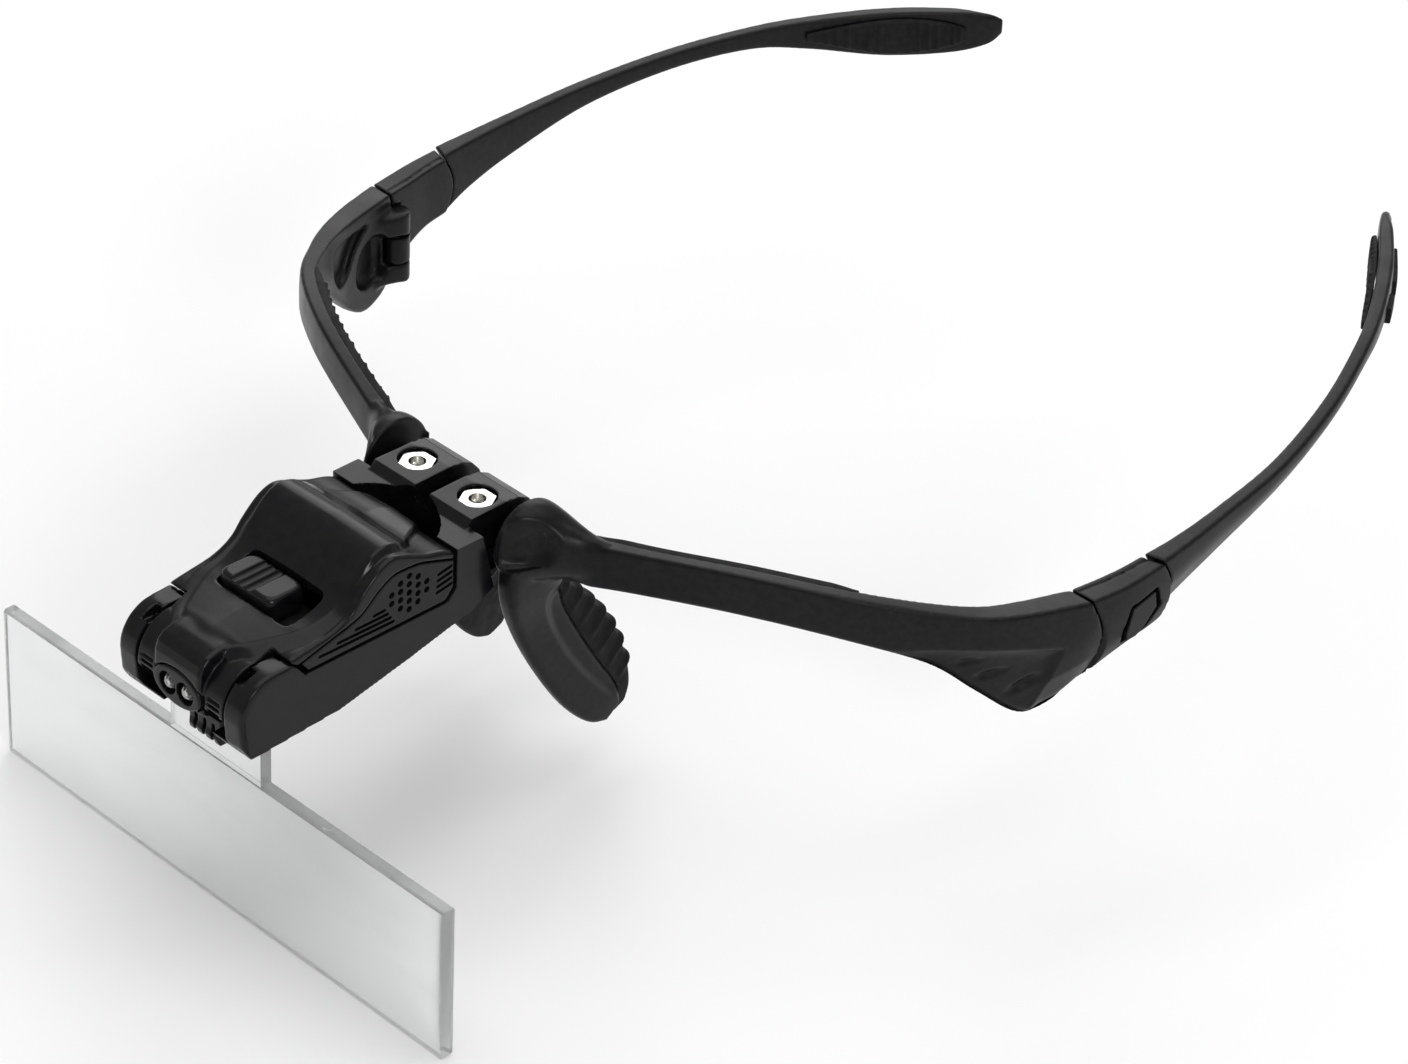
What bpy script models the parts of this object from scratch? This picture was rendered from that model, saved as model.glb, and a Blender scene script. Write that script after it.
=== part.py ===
"""Head visor magnifier: a spectacle-like frame that carries a tilting lens and lamp.

Sizes are in millimetres in the working frame of this file: x runs across the head (+x is the
wearer's left), y runs from the lens back to the temple tips, z is up, and the zero is the middle of
the lens's front face. `to_world` turns them into metres, with the model's base on z = 0.
"""

import math

import bmesh
import bpy
from mathutils import Matrix, Vector

MM = 0.001
GAP = 0.3

# The lens.
LENS_WIDTH = 108.0
LENS_HEIGHT = 29.0
LENS_EDGE = 2.6
LENS_BULGE = 0.4
TAB_HALF = 11.0
TAB_THICK = 2.2
TAB_TOP = 23.9

# The whole: the working frame's y that becomes the model's middle.
MIDDLE_Y = 112.6

# The bridge barrel that the lamp carrier tilts about, and the lamp's own pivot in the ears.
TILT_Y, TILT_Z = 54.0, 38.8
JOURNAL_RADIUS = 3.2
ELBOW_Y, ELBOW_Z = 52.2, 39.4
ELBOW_RADIUS = 7.4
ELBOW_X = 15.4
LAMP_PIVOT_Y, LAMP_PIVOT_Z = 0.0, 31.4
LAMP_BARREL_RADIUS = 5.6

# The lamp carrier.
CARRIER_HALF = 15.0
EAR_INNER = 9.0
EAR_RADIUS = 7.0
ARM_INNER, ARM_OUTER = 1.7, 11.6
ARM_TOP = 46.2
CARRIER_FLOOR = 24.4
WALL_TOP = 35.5
RECESS_RADIUS, RECESS_Y = 11.0, 32.5
NUT_X, NUT_Y = 7.2, 49.3
NUT_FLAT = 5.0
NUT_LOW, NUT_HIGH = 43.9, 45.7
NUT_POCKET_RADIUS = 3.3
SCREW_RADIUS = 1.2
SHOE_LOW = 34.2
SHOE_OUTLINE = [(46.0, 36.9), (46.0, TILT_Z - GAP / 2), (58.6, TILT_Z - GAP / 2), (58.4, 36.4)]
SHOE_OUTLINE += [(56.0, SHOE_LOW), (47.0, SHOE_LOW)]

# The hinge between the frame and each temple.
HINGE_X, HINGE_Y = 80.4, 110.3
HINGE_PIN_RADIUS = 0.9
KNUCKLE_RADIUS = 2.4
KNUCKLE_LOW, KNUCKLE_HIGH = 26.4, 31.4
LUG_LOW, LUG_HIGH = 22.2, 35.0
LINK_FRONT, LINK_BACK = 110.0, 125.6
TEMPLE_FRONT = 125.9

# The switch.
KNOB_HALF_X, KNOB_HALF_Y = 6.4, 3.9
SWITCH_TRAVEL = 4.0
SWITCH_Y = 11.8
KNOB_X = -SWITCH_TRAVEL / 2

# The screws that hold the lamp's two shells together, and the one in its battery cover.
CASE_SCREW_X, CASE_SCREW_Y = 9.8, 24.4
CASE_BOSS_TOP = 42.0
BATTERY_SCREW_Y = 32.0
BATTERY_COVER_HALF = 7.1

# The circuit board.
BOARD_HALF, BOARD_LOW, BOARD_HIGH = 3.7, 34.2, 35.2

# Three button cells lie side by side across the lamp's bulge.
CELL_RADIUS, CELL_THICK = 5.8, 3.05
CELL_Y, CELL_Z = 24.4, 41.2
CELL_PITCH = CELL_THICK + GAP

# The two lights.
LED_X, LED_RADIUS = 2.1, 1.5
LED_FLANGE_RADIUS = 1.75

parts = None
cutters = None


def to_world(point):
    x, y, z = point
    return Vector((x * MM, (y - MIDDLE_Y) * MM, (z + LENS_HEIGHT / 2) * MM))


def clear_scene():
    for obj in list(bpy.data.objects):
        bpy.data.objects.remove(obj, do_unlink=True)


def new_collection(name):
    made = bpy.data.collections.new(name)
    bpy.context.scene.collection.children.link(made)
    return made


def material(name, colour, roughness, metallic=0.0, transmission=0.0):
    made = bpy.data.materials.get(name)
    if made:
        return made
    made = bpy.data.materials.new(name)
    made.use_nodes = True
    shader = made.node_tree.nodes["Principled BSDF"]
    shader.inputs["Base Color"].default_value = (*colour, 1.0)
    shader.inputs["Roughness"].default_value = roughness
    shader.inputs["Metallic"].default_value = metallic
    shader.inputs["Transmission Weight"].default_value = transmission
    return made


def black_plastic():
    return material("black_plastic", (0.012, 0.012, 0.014), 0.32)


def black_rubber():
    return material("black_rubber", (0.010, 0.010, 0.011), 0.70)


def clear_acrylic():
    return material("clear_acrylic", (0.97, 0.98, 0.98), 0.04, transmission=1.0)


def bright_nickel():
    return material("bright_nickel", (0.78, 0.77, 0.74), 0.18, metallic=1.0)


def cell_steel():
    return material("cell_steel", (0.66, 0.66, 0.65), 0.28, metallic=1.0)


def board_green():
    return material("board_green", (0.02, 0.09, 0.05), 0.45)


def link_object(name, mesh, mat, where=None):
    obj = bpy.data.objects.new(name, mesh)
    (where or parts).objects.link(obj)
    if mat:
        mesh.materials.append(mat)
    if where is cutters:
        obj.hide_render = True
        obj.display_type = "WIRE"
    return obj


def from_bmesh(name, bm, mat, where=None):
    bmesh.ops.recalc_face_normals(bm, faces=bm.faces)
    mesh = bpy.data.meshes.new(name)
    bm.to_mesh(mesh)
    bm.free()
    mesh.shade_smooth()
    mesh.set_sharp_from_angle(angle=math.radians(35))
    return link_object(name, mesh, mat, where)


def box(name, low, high, mat=None, where=None):
    """A box between two corners."""
    low, high = to_world(low), to_world(high)
    size = high - low
    bm = bmesh.new()
    place = Matrix.Translation((low + high) / 2) @ Matrix.Diagonal((*size, 1))
    bmesh.ops.create_cube(bm, size=1.0, matrix=place)
    return from_bmesh(name, bm, mat, where)


def rod(name, start, end, radius, mat=None, where=None, sides=24, end_radius=None):
    """A cylinder or cone between two points."""
    start, end = to_world(start), to_world(end)
    axis = end - start
    turn = axis.to_track_quat("Z", "Y").to_matrix().to_4x4()
    bm = bmesh.new()
    bmesh.ops.create_cone(
        bm,
        cap_ends=True,
        segments=sides,
        radius1=radius * MM,
        radius2=(radius if end_radius is None else end_radius) * MM,
        depth=axis.length,
        matrix=Matrix.Translation((start + end) / 2) @ turn,
    )
    return from_bmesh(name, bm, mat, where)


def loft(name, rings, mat=None, where=None):
    """A closed solid through rings of equal length, with flat ends."""
    bm = bmesh.new()
    rows = [[bm.verts.new(to_world(point)) for point in ring] for ring in rings]
    count = len(rings[0])
    for row, after in zip(rows, rows[1:]):
        for i in range(count):
            j = (i + 1) % count
            bm.faces.new((row[i], row[j], after[j], after[i]))
    bm.faces.new(rows[0])
    bm.faces.new(rows[-1])
    return from_bmesh(name, bm, mat, where)


def slab(name, outline, low_x, high_x, mat=None, where=None):
    """A side profile of (y, z) points, extruded across the head from low_x to high_x."""
    rings = [[(x, y, z) for y, z in outline] for x in (low_x, high_x)]
    return loft(name, rings, mat, where)


def turned(name, profile, centre, axis, mat=None, where=None, steps=24):
    """A profile of (radius, height) points, top to bottom, turned about an axis through centre."""
    mesh = bpy.data.meshes.new(name)
    points = [(radius * MM, 0.0, height * MM) for radius, height in profile]
    mesh.from_pydata(points, [(i, i + 1) for i in range(len(points) - 1)], [])
    made = link_object(name, mesh, None, where)
    screw = made.modifiers.new("turn", "SCREW")
    screw.steps = steps
    screw.render_steps = steps
    screw.use_merge_vertices = True
    screw.merge_threshold = 0.00001
    turn = Vector(axis).to_track_quat("Z", "Y").to_matrix().to_4x4()
    made.matrix_world = Matrix.Translation(to_world(centre)) @ turn
    return baked(made, mat)


def evaluated_mesh(obj):
    bpy.context.view_layer.update()
    graph = bpy.context.evaluated_depsgraph_get()
    mesh = bpy.data.meshes.new_from_object(obj.evaluated_get(graph))
    mesh.transform(obj.matrix_world)
    return mesh


def baked(obj, mat=None):
    """The object with its modifiers and place applied to its mesh."""
    mesh = evaluated_mesh(obj)
    mesh.materials.clear()
    if mat:
        mesh.materials.append(mat)
    obj.modifiers.clear()
    obj.data = mesh
    obj.matrix_world = Matrix.Identity(4)
    mesh.shade_smooth()
    mesh.set_sharp_from_angle(angle=math.radians(35))
    return obj


def mirrored(obj, name, where=None):
    """A left-right mirrored copy of an object, as a mesh of its own."""
    mesh = evaluated_mesh(obj)
    mesh.transform(Matrix.Diagonal((-1, 1, 1, 1)))
    mesh.flip_normals()
    mat = mesh.materials[0] if mesh.materials else None
    mesh.materials.clear()
    mesh.name = name
    return link_object(name, mesh, mat, where)


def boolean(obj, operation, *others):
    for other in others:
        if other.name not in cutters.objects:
            parts.objects.unlink(other)
            cutters.objects.link(other)
            other.hide_render = True
            other.display_type = "WIRE"
        step = obj.modifiers.new(f"{operation.lower()}_{other.name}", "BOOLEAN")
        step.operation = operation
        step.object = other
        step.solver = "EXACT"


def cut(obj, *others):
    boolean(obj, "DIFFERENCE", *others)


def join(obj, *others):
    boolean(obj, "UNION", *others)


def soften(obj, width, segments=2, angle=40):
    bevel = obj.modifiers.new("rounded_edges", "BEVEL")
    bevel.width = width * MM
    bevel.segments = segments
    bevel.limit_method = "ANGLE"
    bevel.angle_limit = math.radians(angle)
    bevel.use_clamp_overlap = True


def set_origin(obj, point):
    """Moves the object's origin to a point without moving its surface."""
    baked_mesh = baked(obj, obj.data.materials[0]).data
    place = to_world(point)
    baked_mesh.transform(Matrix.Translation(-place))
    obj.location = place


def smooth_path(points, per_span):
    """A Catmull-Rom curve through the points, with per_span steps between two of them."""
    points = [Vector(point) for point in points]
    ends = [points[0] * 2 - points[1], *points, points[-1] * 2 - points[-2]]
    path = []
    for before, start, end, after in zip(ends, ends[1:], ends[2:], ends[3:]):
        for step in range(per_span):
            t = step / per_span
            bend = (before * 2 - start * 5 + end * 4 - after) * t * t
            twist = (start * 3 - before - end * 3 + after) * t**3
            path.append((start * 2 + (end - before) * t + bend + twist) / 2)
    path.append(points[-1])
    return path


def arc(centre, radius, start, end, steps):
    """(a, b) points on an arc, angles in degrees."""
    angles = [math.radians(start + (end - start) * i / steps) for i in range(steps + 1)]
    return [(centre[0] + radius * math.cos(a), centre[1] + radius * math.sin(a)) for a in angles]


def rounded_ring(centre, across, up, width, height, radius, per_corner=2):
    """A rounded rectangle as 3-D points, in the plane of two unit vectors."""
    radius = min(radius, width * 0.49, height * 0.49)
    ring = []
    corners = [(1, 1, 0), (-1, 1, 90), (-1, -1, 180), (1, -1, 270)]
    for sign_a, sign_b, first in corners:
        middle = (sign_a * (width / 2 - radius), sign_b * (height / 2 - radius))
        for a, b in arc(middle, radius, first, first + 90, per_corner):
            ring.append(Vector(centre) + Vector(across) * a + Vector(up) * b)
    return ring


def strip(stations, radius, per_span=3, square_start=False, square_end=False):
    """Rings along a strip. A station is (x, y, top, height, thickness) of its outer top edge.

    A square end faces straight along y, so that it butts against its neighbour.
    """
    path = smooth_path(stations_to_vectors(stations), per_span)
    sizes = smooth_path([Vector((s[3], s[4], 0)) for s in stations], per_span)
    rings = []
    for i, (point, size) in enumerate(zip(path, sizes)):
        ahead = path[min(i + 1, len(path) - 1)] - path[max(i - 1, 0)]
        inward = Vector((-ahead.y, ahead.x, 0)).normalized()
        if (i == 0 and square_start) or (i == len(path) - 1 and square_end):
            inward = Vector((-1, 0, 0))
        height, thick = size.x, size.y
        centre = point + inward * thick / 2 - Vector((0, 0, height / 2))
        rings.append(rounded_ring(centre, inward, (0, 0, 1), thick, height, radius))
    return rings


def stations_to_vectors(stations):
    return [Vector(station[:3]) for station in stations]


# ---------------------------------------------------------------- frame


def front_frame():
    """Bridge barrel, brow bars, end pieces and nose arms: one moulding, mirrored about the middle."""
    barrel_end = (ELBOW_X + 2, TILT_Y, TILT_Z)
    frame = rod("front_frame", (-4, TILT_Y, TILT_Z), barrel_end, JOURNAL_RADIUS, black_plastic())
    profile = [(0.0, 5.4), (ELBOW_RADIUS - 2.4, 5.4), (ELBOW_RADIUS - 0.8, 4.2), (ELBOW_RADIUS, 2.6)]
    profile += [(ELBOW_RADIUS, 0.6), (ELBOW_RADIUS - 0.6, 0.0), (0.0, 0.0)]
    elbow = turned("elbow", profile, (ELBOW_X, ELBOW_Y, ELBOW_Z), (1, 0, 0), where=cutters, steps=28)
    join(frame, elbow)
    bar = loft("bar_left", strip(BAR_STATIONS, 1.5, square_end=True), where=cutters)
    arm = loft("nose_arm_left_form", nose_arm_rings(), where=cutters)
    join(frame, bar, arm, hinge_lug("upper_lug", KNUCKLE_HIGH + GAP, LUG_HIGH))
    join(frame, hinge_lug("lower_lug", LUG_LOW, KNUCKLE_LOW - GAP))
    knuckle_room = rod(
        "knuckle_room",
        (HINGE_X, HINGE_Y, KNUCKLE_LOW - GAP),
        (HINGE_X, HINGE_Y, KNUCKLE_HIGH + GAP),
        KNUCKLE_RADIUS + GAP,
        where=cutters,
    )
    pin_hole = rod(
        "frame_pin_hole",
        (HINGE_X, HINGE_Y, 15),
        (HINGE_X, HINGE_Y, 45),
        HINGE_PIN_RADIUS + GAP,
        where=cutters,
        sides=16,
    )
    cut(frame, knuckle_room, pin_hole)
    mirror = frame.modifiers.new("other_side", "MIRROR")
    mirror.use_axis = (True, False, False)
    mirror.use_bisect_axis = (True, False, False)
    mirror.merge_threshold = 0.00001
    return frame


# The outer top edge of the brow bar and its end piece: x, y, top, height, thickness.
BAR_STATIONS = [
    (17.0, 53.4, 43.6, 9.6, 6.0),
    (22.5, 55.6, 42.2, 8.4, 4.0),
    (33.0, 58.7, 43.6, 7.7, 3.0),
    (50.5, 65.1, 45.7, 7.6, 3.0),
    (65.0, 74.0, 44.9, 8.1, 3.1),
    (74.5, 84.3, 42.2, 10.0, 3.6),
    (80.0, 91.8, 40.5, 15.4, 4.4),
    (83.4, 99.0, 39.8, 20.6, 5.0),
    (85.4, 105.0, 39.4, 20.0, 5.2),
    (86.8, LINK_FRONT - GAP, 39.1, 16.6, 5.2),
]


def hinge_lug(name, low, high):
    """One of the end piece's two knuckles, with a web that ties it to the bar."""
    outline = arc((HINGE_X, HINGE_Y), KNUCKLE_RADIUS, -20, 200, 12)
    outline += [(HINGE_X + 0.6, HINGE_Y - 9.5), (HINGE_X + 2.2, HINGE_Y - 9.0)]
    outline += [(HINGE_X + 3.6, HINGE_Y - 0.8)]
    return loft(name, [[(x, y, z) for x, y in outline] for z in (low, high)], where=cutters)


# Down the nose arm: centre x, y, z, then its length front to back, and its thickness.
NOSE_ARM_STATIONS = [
    (17.4, 52.4, 38.0, 11.0, 4.0),
    (17.2, 51.2, 33.0, 11.5, 3.8),
    (16.8, 53.2, 26.0, 9.5, 3.2),
    (17.4, 57.4, 17.5, 9.0, 2.8),
    (18.0, 62.8, 8.5, 9.0, 2.6),
    (18.4, 67.6, 2.6, 8.0, 2.4),
    (18.6, 69.6, 0.2, 4.0, 1.8),
]


def nose_arm_rings():
    path = smooth_path([Vector(s[:3]) for s in NOSE_ARM_STATIONS], 2)
    sizes = smooth_path([Vector((s[3], s[4], 0)) for s in NOSE_ARM_STATIONS], 2)
    rings = []
    for i, (point, size) in enumerate(zip(path, sizes)):
        ahead = (path[min(i + 1, len(path) - 1)] - path[max(i - 1, 0)]).normalized()
        side = Vector((1, 0, 0))
        along = side.cross(ahead).normalized()
        rings.append(rounded_ring(point, along, side, size.x, size.y, 1.2))
    return rings


# Down the nose pad: centre x, y, z, then its length front to back, and its thickness.
NOSE_PAD_STATIONS = [
    (13.2, 57.4, 28.0, 4.0, 3.0),
    (12.9, 59.4, 25.0, 8.0, 4.2),
    (13.0, 63.2, 18.6, 12.0, 4.8),
    (13.5, 67.4, 11.4, 13.4, 4.8),
    (14.2, 70.8, 4.6, 12.0, 4.2),
    (14.8, 73.0, -0.2, 8.6, 3.2),
    (15.0, 74.2, -2.8, 4.0, 2.2),
]


def nose_pad():
    """A soft pad on the inner face of the nose arm, crossed by ribs."""
    path = smooth_path([Vector(s[:3]) for s in NOSE_PAD_STATIONS], 3)
    sizes = smooth_path([Vector((s[3], s[4], 0)) for s in NOSE_PAD_STATIONS], 3)
    rings = []
    for i, (point, size) in enumerate(zip(path, sizes)):
        ahead = (path[min(i + 1, len(path) - 1)] - path[max(i - 1, 0)]).normalized()
        side = Vector((1, 0, 0))
        along = side.cross(ahead).normalized()
        rings.append(rounded_ring(point, along, side, size.x, size.y, 1.8))
    pad = loft("nose_pad_left", rings, black_rubber())
    arm = bpy.data.objects["nose_arm_left_form"]
    grown = grown_copy(arm, "nose_arm_room", GAP)
    cut(pad, grown)
    return pad


def grown_copy(obj, name, by):
    """A copy of a closed form with every face pushed out, for cutting a neighbour with a gap."""
    mesh = evaluated_mesh(obj)
    bm = bmesh.new()
    bm.from_mesh(mesh)
    bm.normal_update()
    shifts = [vert.normal * by * MM for vert in bm.verts]
    for vert, shift in zip(bm.verts, shifts):
        vert.co += shift
    return from_bmesh(name, bm, None, cutters)


def brow_pad():
    """A ribbed strip along the rear face of the brow bar."""
    rings = []
    path = smooth_path(stations_to_vectors(BAR_STATIONS), 6)
    sizes = smooth_path([Vector((s[3], s[4], 0)) for s in BAR_STATIONS], 6)
    for i in range(1, len(path) - 1):
        point, size = path[i], sizes[i]
        if not 20.0 < point.x < 70.0:
            continue
        ahead = path[i + 1] - path[i - 1]
        inward = Vector((-ahead.y, ahead.x, 0)).normalized()
        depth = size.y + GAP
        thick = 1.5
        centre = point + inward * (depth + thick / 2) - Vector((0, 0, size.x / 2))
        rings.append(rounded_ring(centre, inward, (0, 0, 1), thick, size.x - 0.8, 0.6, 1))
    return loft("brow_pad_left", rings, black_rubber())


# ---------------------------------------------------------------- hinge, link and temple


def hinge_pin():
    low = (HINGE_X, HINGE_Y, LUG_LOW + GAP)
    high = (HINGE_X, HINGE_Y, LUG_HIGH - GAP)
    return rod("hinge_pin_left", low, high, HINGE_PIN_RADIUS, bright_nickel(), sides=16)


# The link between the frame's hinge and the temple: x, y, top, height, thickness.
LINK_STATIONS = [
    (86.9, LINK_FRONT, 39.1, 16.4, 5.2),
    (87.5, 115.0, 39.2, 14.2, 5.2),
    (87.9, 120.0, 39.5, 12.6, 4.9),
    (87.9, LINK_BACK, 39.9, 12.2, 4.5),
]
SOCKET_DEPTH = 7.0
SOCKET_LOW, SOCKET_HIGH = 33.0, 37.6
SOCKET_INNER, SOCKET_OUTER = 84.2, 86.2
BUTTON_Y, BUTTON_HALF = 120.4, 3.2
BUTTON_LOW, BUTTON_HIGH = 27.4, 32.0
BUTTON_INNER, BUTTON_OUTER = 86.5, 88.0


def hinge_link():
    link = loft("hinge_link_left", strip(LINK_STATIONS, 1.5, 3, True, True), black_plastic())
    knuckle = slab_xy(
        "link_knuckle",
        arc((HINGE_X, HINGE_Y), KNUCKLE_RADIUS, 90, 270, 12)
        + [(HINGE_X + 1.0, HINGE_Y - 2.1), (HINGE_X + 2.6, HINGE_Y + 0.0), (HINGE_X + 3.2, HINGE_Y + 3.2)],
        KNUCKLE_LOW,
        KNUCKLE_HIGH,
    )
    join(link, knuckle)
    for name, low, high in (("upper_room", KNUCKLE_HIGH, 45), ("lower_room", 18, KNUCKLE_LOW)):
        ends = (HINGE_X, HINGE_Y, low), (HINGE_X, HINGE_Y, high)
        cut(link, rod(name, *ends, KNUCKLE_RADIUS + GAP, where=cutters))
    pin_hole = rod(
        "link_pin_hole",
        (HINGE_X, HINGE_Y, 15),
        (HINGE_X, HINGE_Y, 45),
        HINGE_PIN_RADIUS + GAP,
        where=cutters,
        sides=16,
    )
    socket = box(
        "link_socket",
        (SOCKET_INNER, LINK_BACK - SOCKET_DEPTH, SOCKET_LOW),
        (SOCKET_OUTER, LINK_BACK + 2, SOCKET_HIGH),
        where=cutters,
    )
    window = box(
        "link_window",
        (84.3, BUTTON_Y - BUTTON_HALF - GAP, 20),
        (90, BUTTON_Y + BUTTON_HALF + GAP, BUTTON_HIGH + GAP),
        where=cutters,
    )
    cut(link, pin_hole, socket, window)
    return link


def slab_xy(name, outline, low, high, mat=None):
    rings = [[(x, y, z) for x, y in outline] for z in (low, high)]
    return loft(name, rings, mat, None if mat else cutters)


def latch_button():
    """The release button in the link's outer side, flush with it at rest."""
    button = box(
        "latch_button_left",
        (BUTTON_INNER, BUTTON_Y - BUTTON_HALF, BUTTON_LOW),
        (BUTTON_OUTER, BUTTON_Y + BUTTON_HALF, BUTTON_HIGH),
        black_plastic(),
    )
    soften(button, 0.5)
    return button


def latch_spring():
    """A bent leaf spring behind the button."""
    return box(
        "latch_spring_left",
        (84.6, BUTTON_Y - 2.4, 28.6),
        (84.9, BUTTON_Y + 2.4, 31.0),
        bright_nickel(),
    )


# The temple: x, y, top, height, thickness of its outer top edge.
TEMPLE_STATIONS = [
    (88.0, TEMPLE_FRONT, 40.5, 12.2, 4.2),
    (87.6, 132.0, 40.9, 9.8, 3.6),
    (86.7, 142.5, 41.8, 7.4, 3.0),
    (84.9, 159.0, 43.3, 4.6, 2.8),
    (80.5, 176.8, 45.4, 3.6, 2.8),
    (74.6, 192.0, 47.1, 4.0, 2.8),
    (69.3, 202.6, 47.9, 6.2, 2.9),
    (61.5, 214.7, 48.6, 9.2, 3.0),
    (53.5, 224.6, 48.5, 8.8, 2.8),
    (49.0, 229.8, 47.6, 6.4, 2.4),
    (47.2, 232.2, 46.2, 3.0, 1.6),
]


def temple():
    arm = loft("temple_left", strip(TEMPLE_STATIONS, 1.1, 3, True), black_plastic())
    plug = box(
        "temple_plug",
        (SOCKET_INNER + GAP, LINK_BACK - SOCKET_DEPTH + 0.6, SOCKET_LOW + GAP),
        (SOCKET_OUTER - GAP, TEMPLE_FRONT + 2.0, SOCKET_HIGH - GAP),
        where=cutters,
    )
    join(arm, plug)
    return arm


def temple_pad():
    """A ribbed pad on the inner face of the temple's tip."""
    path = smooth_path(stations_to_vectors(TEMPLE_STATIONS), 6)
    sizes = smooth_path([Vector((s[3], s[4], 0)) for s in TEMPLE_STATIONS], 6)
    first, last = 37, 52
    rings = []
    for i in range(first, last + 1):
        ahead = path[i + 1] - path[i - 1]
        inward = Vector((-ahead.y, ahead.x, 0)).normalized()
        along = (i - first) / (last - first)
        height = (sizes[i].x - 1.6) * math.sin(math.pi * (0.12 + 0.76 * along)) ** 0.5
        thick = 0.5 + 0.9 * math.sin(math.pi * along)
        centre = path[i] + inward * (sizes[i].y + GAP + thick / 2) - Vector((0, 0, sizes[i].x / 2))
        rings.append(rounded_ring(centre, inward, (0, 0, 1), thick, height, 0.3, 1))
    return loft("temple_pad_left", rings, black_rubber())


# ---------------------------------------------------------------- lamp carrier


def carrier_outline():
    """The carrier's side profile in (y, z): ear, sloping floor, rear block."""
    outline = [(-4.9, CARRIER_FLOOR), (13.5, 25.4), (28.0, 28.4), (40.9, 31.4), (46.1, 34.0)]
    outline += [(43.6, 44.8), (37.9, 44.8), (37.9, 37.6), (36.0, WALL_TOP), (6.2, WALL_TOP), (4.6, 37.6)]
    outline += [(3.6, LAMP_PIVOT_Z + EAR_RADIUS)]
    outline += arc((LAMP_PIVOT_Y, LAMP_PIVOT_Z), EAR_RADIUS, 90, 180, 8)
    outline += [(-6.4, 27.0)]
    return outline


def lamp_carrier():
    carrier = slab("lamp_carrier", carrier_outline(), -CARRIER_HALF, CARRIER_HALF, black_plastic())
    between_ears = slab(
        "room_between_ears",
        [(-12, 25.5), (5.4, 25.5), (5.4, 50), (-12, 50)],
        -EAR_INNER,
        EAR_INNER,
        where=cutters,
    )
    tray = slab(
        "room_in_tray",
        [(3.0, 26.2), (13.6, 27.0), (28.0, 30.0), (36.4, 31.8), (36.4, 50), (3.0, 50)],
        -12.6,
        12.6,
        where=cutters,
    )
    low = (0, RECESS_Y, 33.0)
    recess = rod("finger_recess", low, (0, RECESS_Y, 50), RECESS_RADIUS, where=cutters, sides=36)
    trunnion_room = rod(
        "trunnion_room",
        (-12.3, LAMP_PIVOT_Y, LAMP_PIVOT_Z),
        (12.3, LAMP_PIVOT_Y, LAMP_PIVOT_Z),
        2.1 + GAP,
        where=cutters,
    )
    arms_outline = [(42.0, 38.0), (42.6, 44.6), (44.0, ARM_TOP), (54.4, ARM_TOP), (57.4, 44.2)]
    arms_outline += [(58.6, TILT_Z + GAP), (46.2, TILT_Z + GAP), (45.0, 36.0)]
    arm_left = slab("arm_left", arms_outline, ARM_INNER, ARM_OUTER, where=cutters)
    arm_right = slab("arm_right", arms_outline, -ARM_OUTER, -ARM_INNER, where=cutters)
    bore = rod(
        "barrel_room",
        (-20, TILT_Y, TILT_Z),
        (20, TILT_Y, TILT_Z),
        JOURNAL_RADIUS + GAP,
        where=cutters,
        sides=28,
    )
    join(carrier, arm_left, arm_right)
    nose_room = box("nose_room", (-6.2, -12, 20), (6.2, -0.6, 30), where=cutters)
    cut(carrier, between_ears, tray, recess, trunnion_room, bore, nose_room)
    for side in (-1, 1):
        low = (side * NUT_X, NUT_Y, NUT_LOW - GAP)
        pocket = rod(f"nut_pocket_{side}", low, (side * NUT_X, NUT_Y, 50), NUT_POCKET_RADIUS, where=cutters)
        cut(carrier, pocket, screw_room(side))
    return carrier


def screw_room(side):
    """The hole that one clamp screw passes through."""
    name = f"clamp_screw_room_{side}"
    found = bpy.data.objects.get(name)
    if found:
        return found
    low = (side * NUT_X, NUT_Y, 30)
    high = (side * NUT_X, NUT_Y, 50)
    return rod(name, low, high, SCREW_RADIUS + GAP, where=cutters, sides=16)


def clamp_shoe():
    """The lower half of one clamp, below the barrel."""
    shoe = slab("clamp_shoe_left", SHOE_OUTLINE, ARM_INNER, ARM_OUTER, black_plastic())
    room = bpy.data.objects["barrel_room"]
    carrier_rear = [(30, 25), (46.8, 33.4), (46.5, 41.6), (43.9, 46), (30, 46)]
    behind = slab("carrier_room", carrier_rear, ARM_INNER - 2, ARM_OUTER + 5, where=cutters)
    cut(shoe, room, behind, screw_room(1))
    return shoe


# ---------------------------------------------------------------- clamps


def clamp_screw():
    """The screw up through one clamp, in front of the barrel: head below, thread in the nut."""
    head_height = 1.6
    low = SHOE_LOW - GAP - head_height
    high = NUT_HIGH + GAP
    return small_screw("clamp_screw_left", (NUT_X, NUT_Y), low, high, 2.5, SCREW_RADIUS, head_height)


def clamp_nut():
    """The hexagon nut in the pocket on top of one clamp."""
    low = (NUT_X, NUT_Y, NUT_LOW)
    high = (NUT_X, NUT_Y, NUT_HIGH)
    nut = rod("clamp_nut_left", low, high, NUT_FLAT / math.sqrt(3), bright_nickel(), sides=6)
    cut(nut, screw_room(1))
    return nut


# ---------------------------------------------------------------- lens


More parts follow.
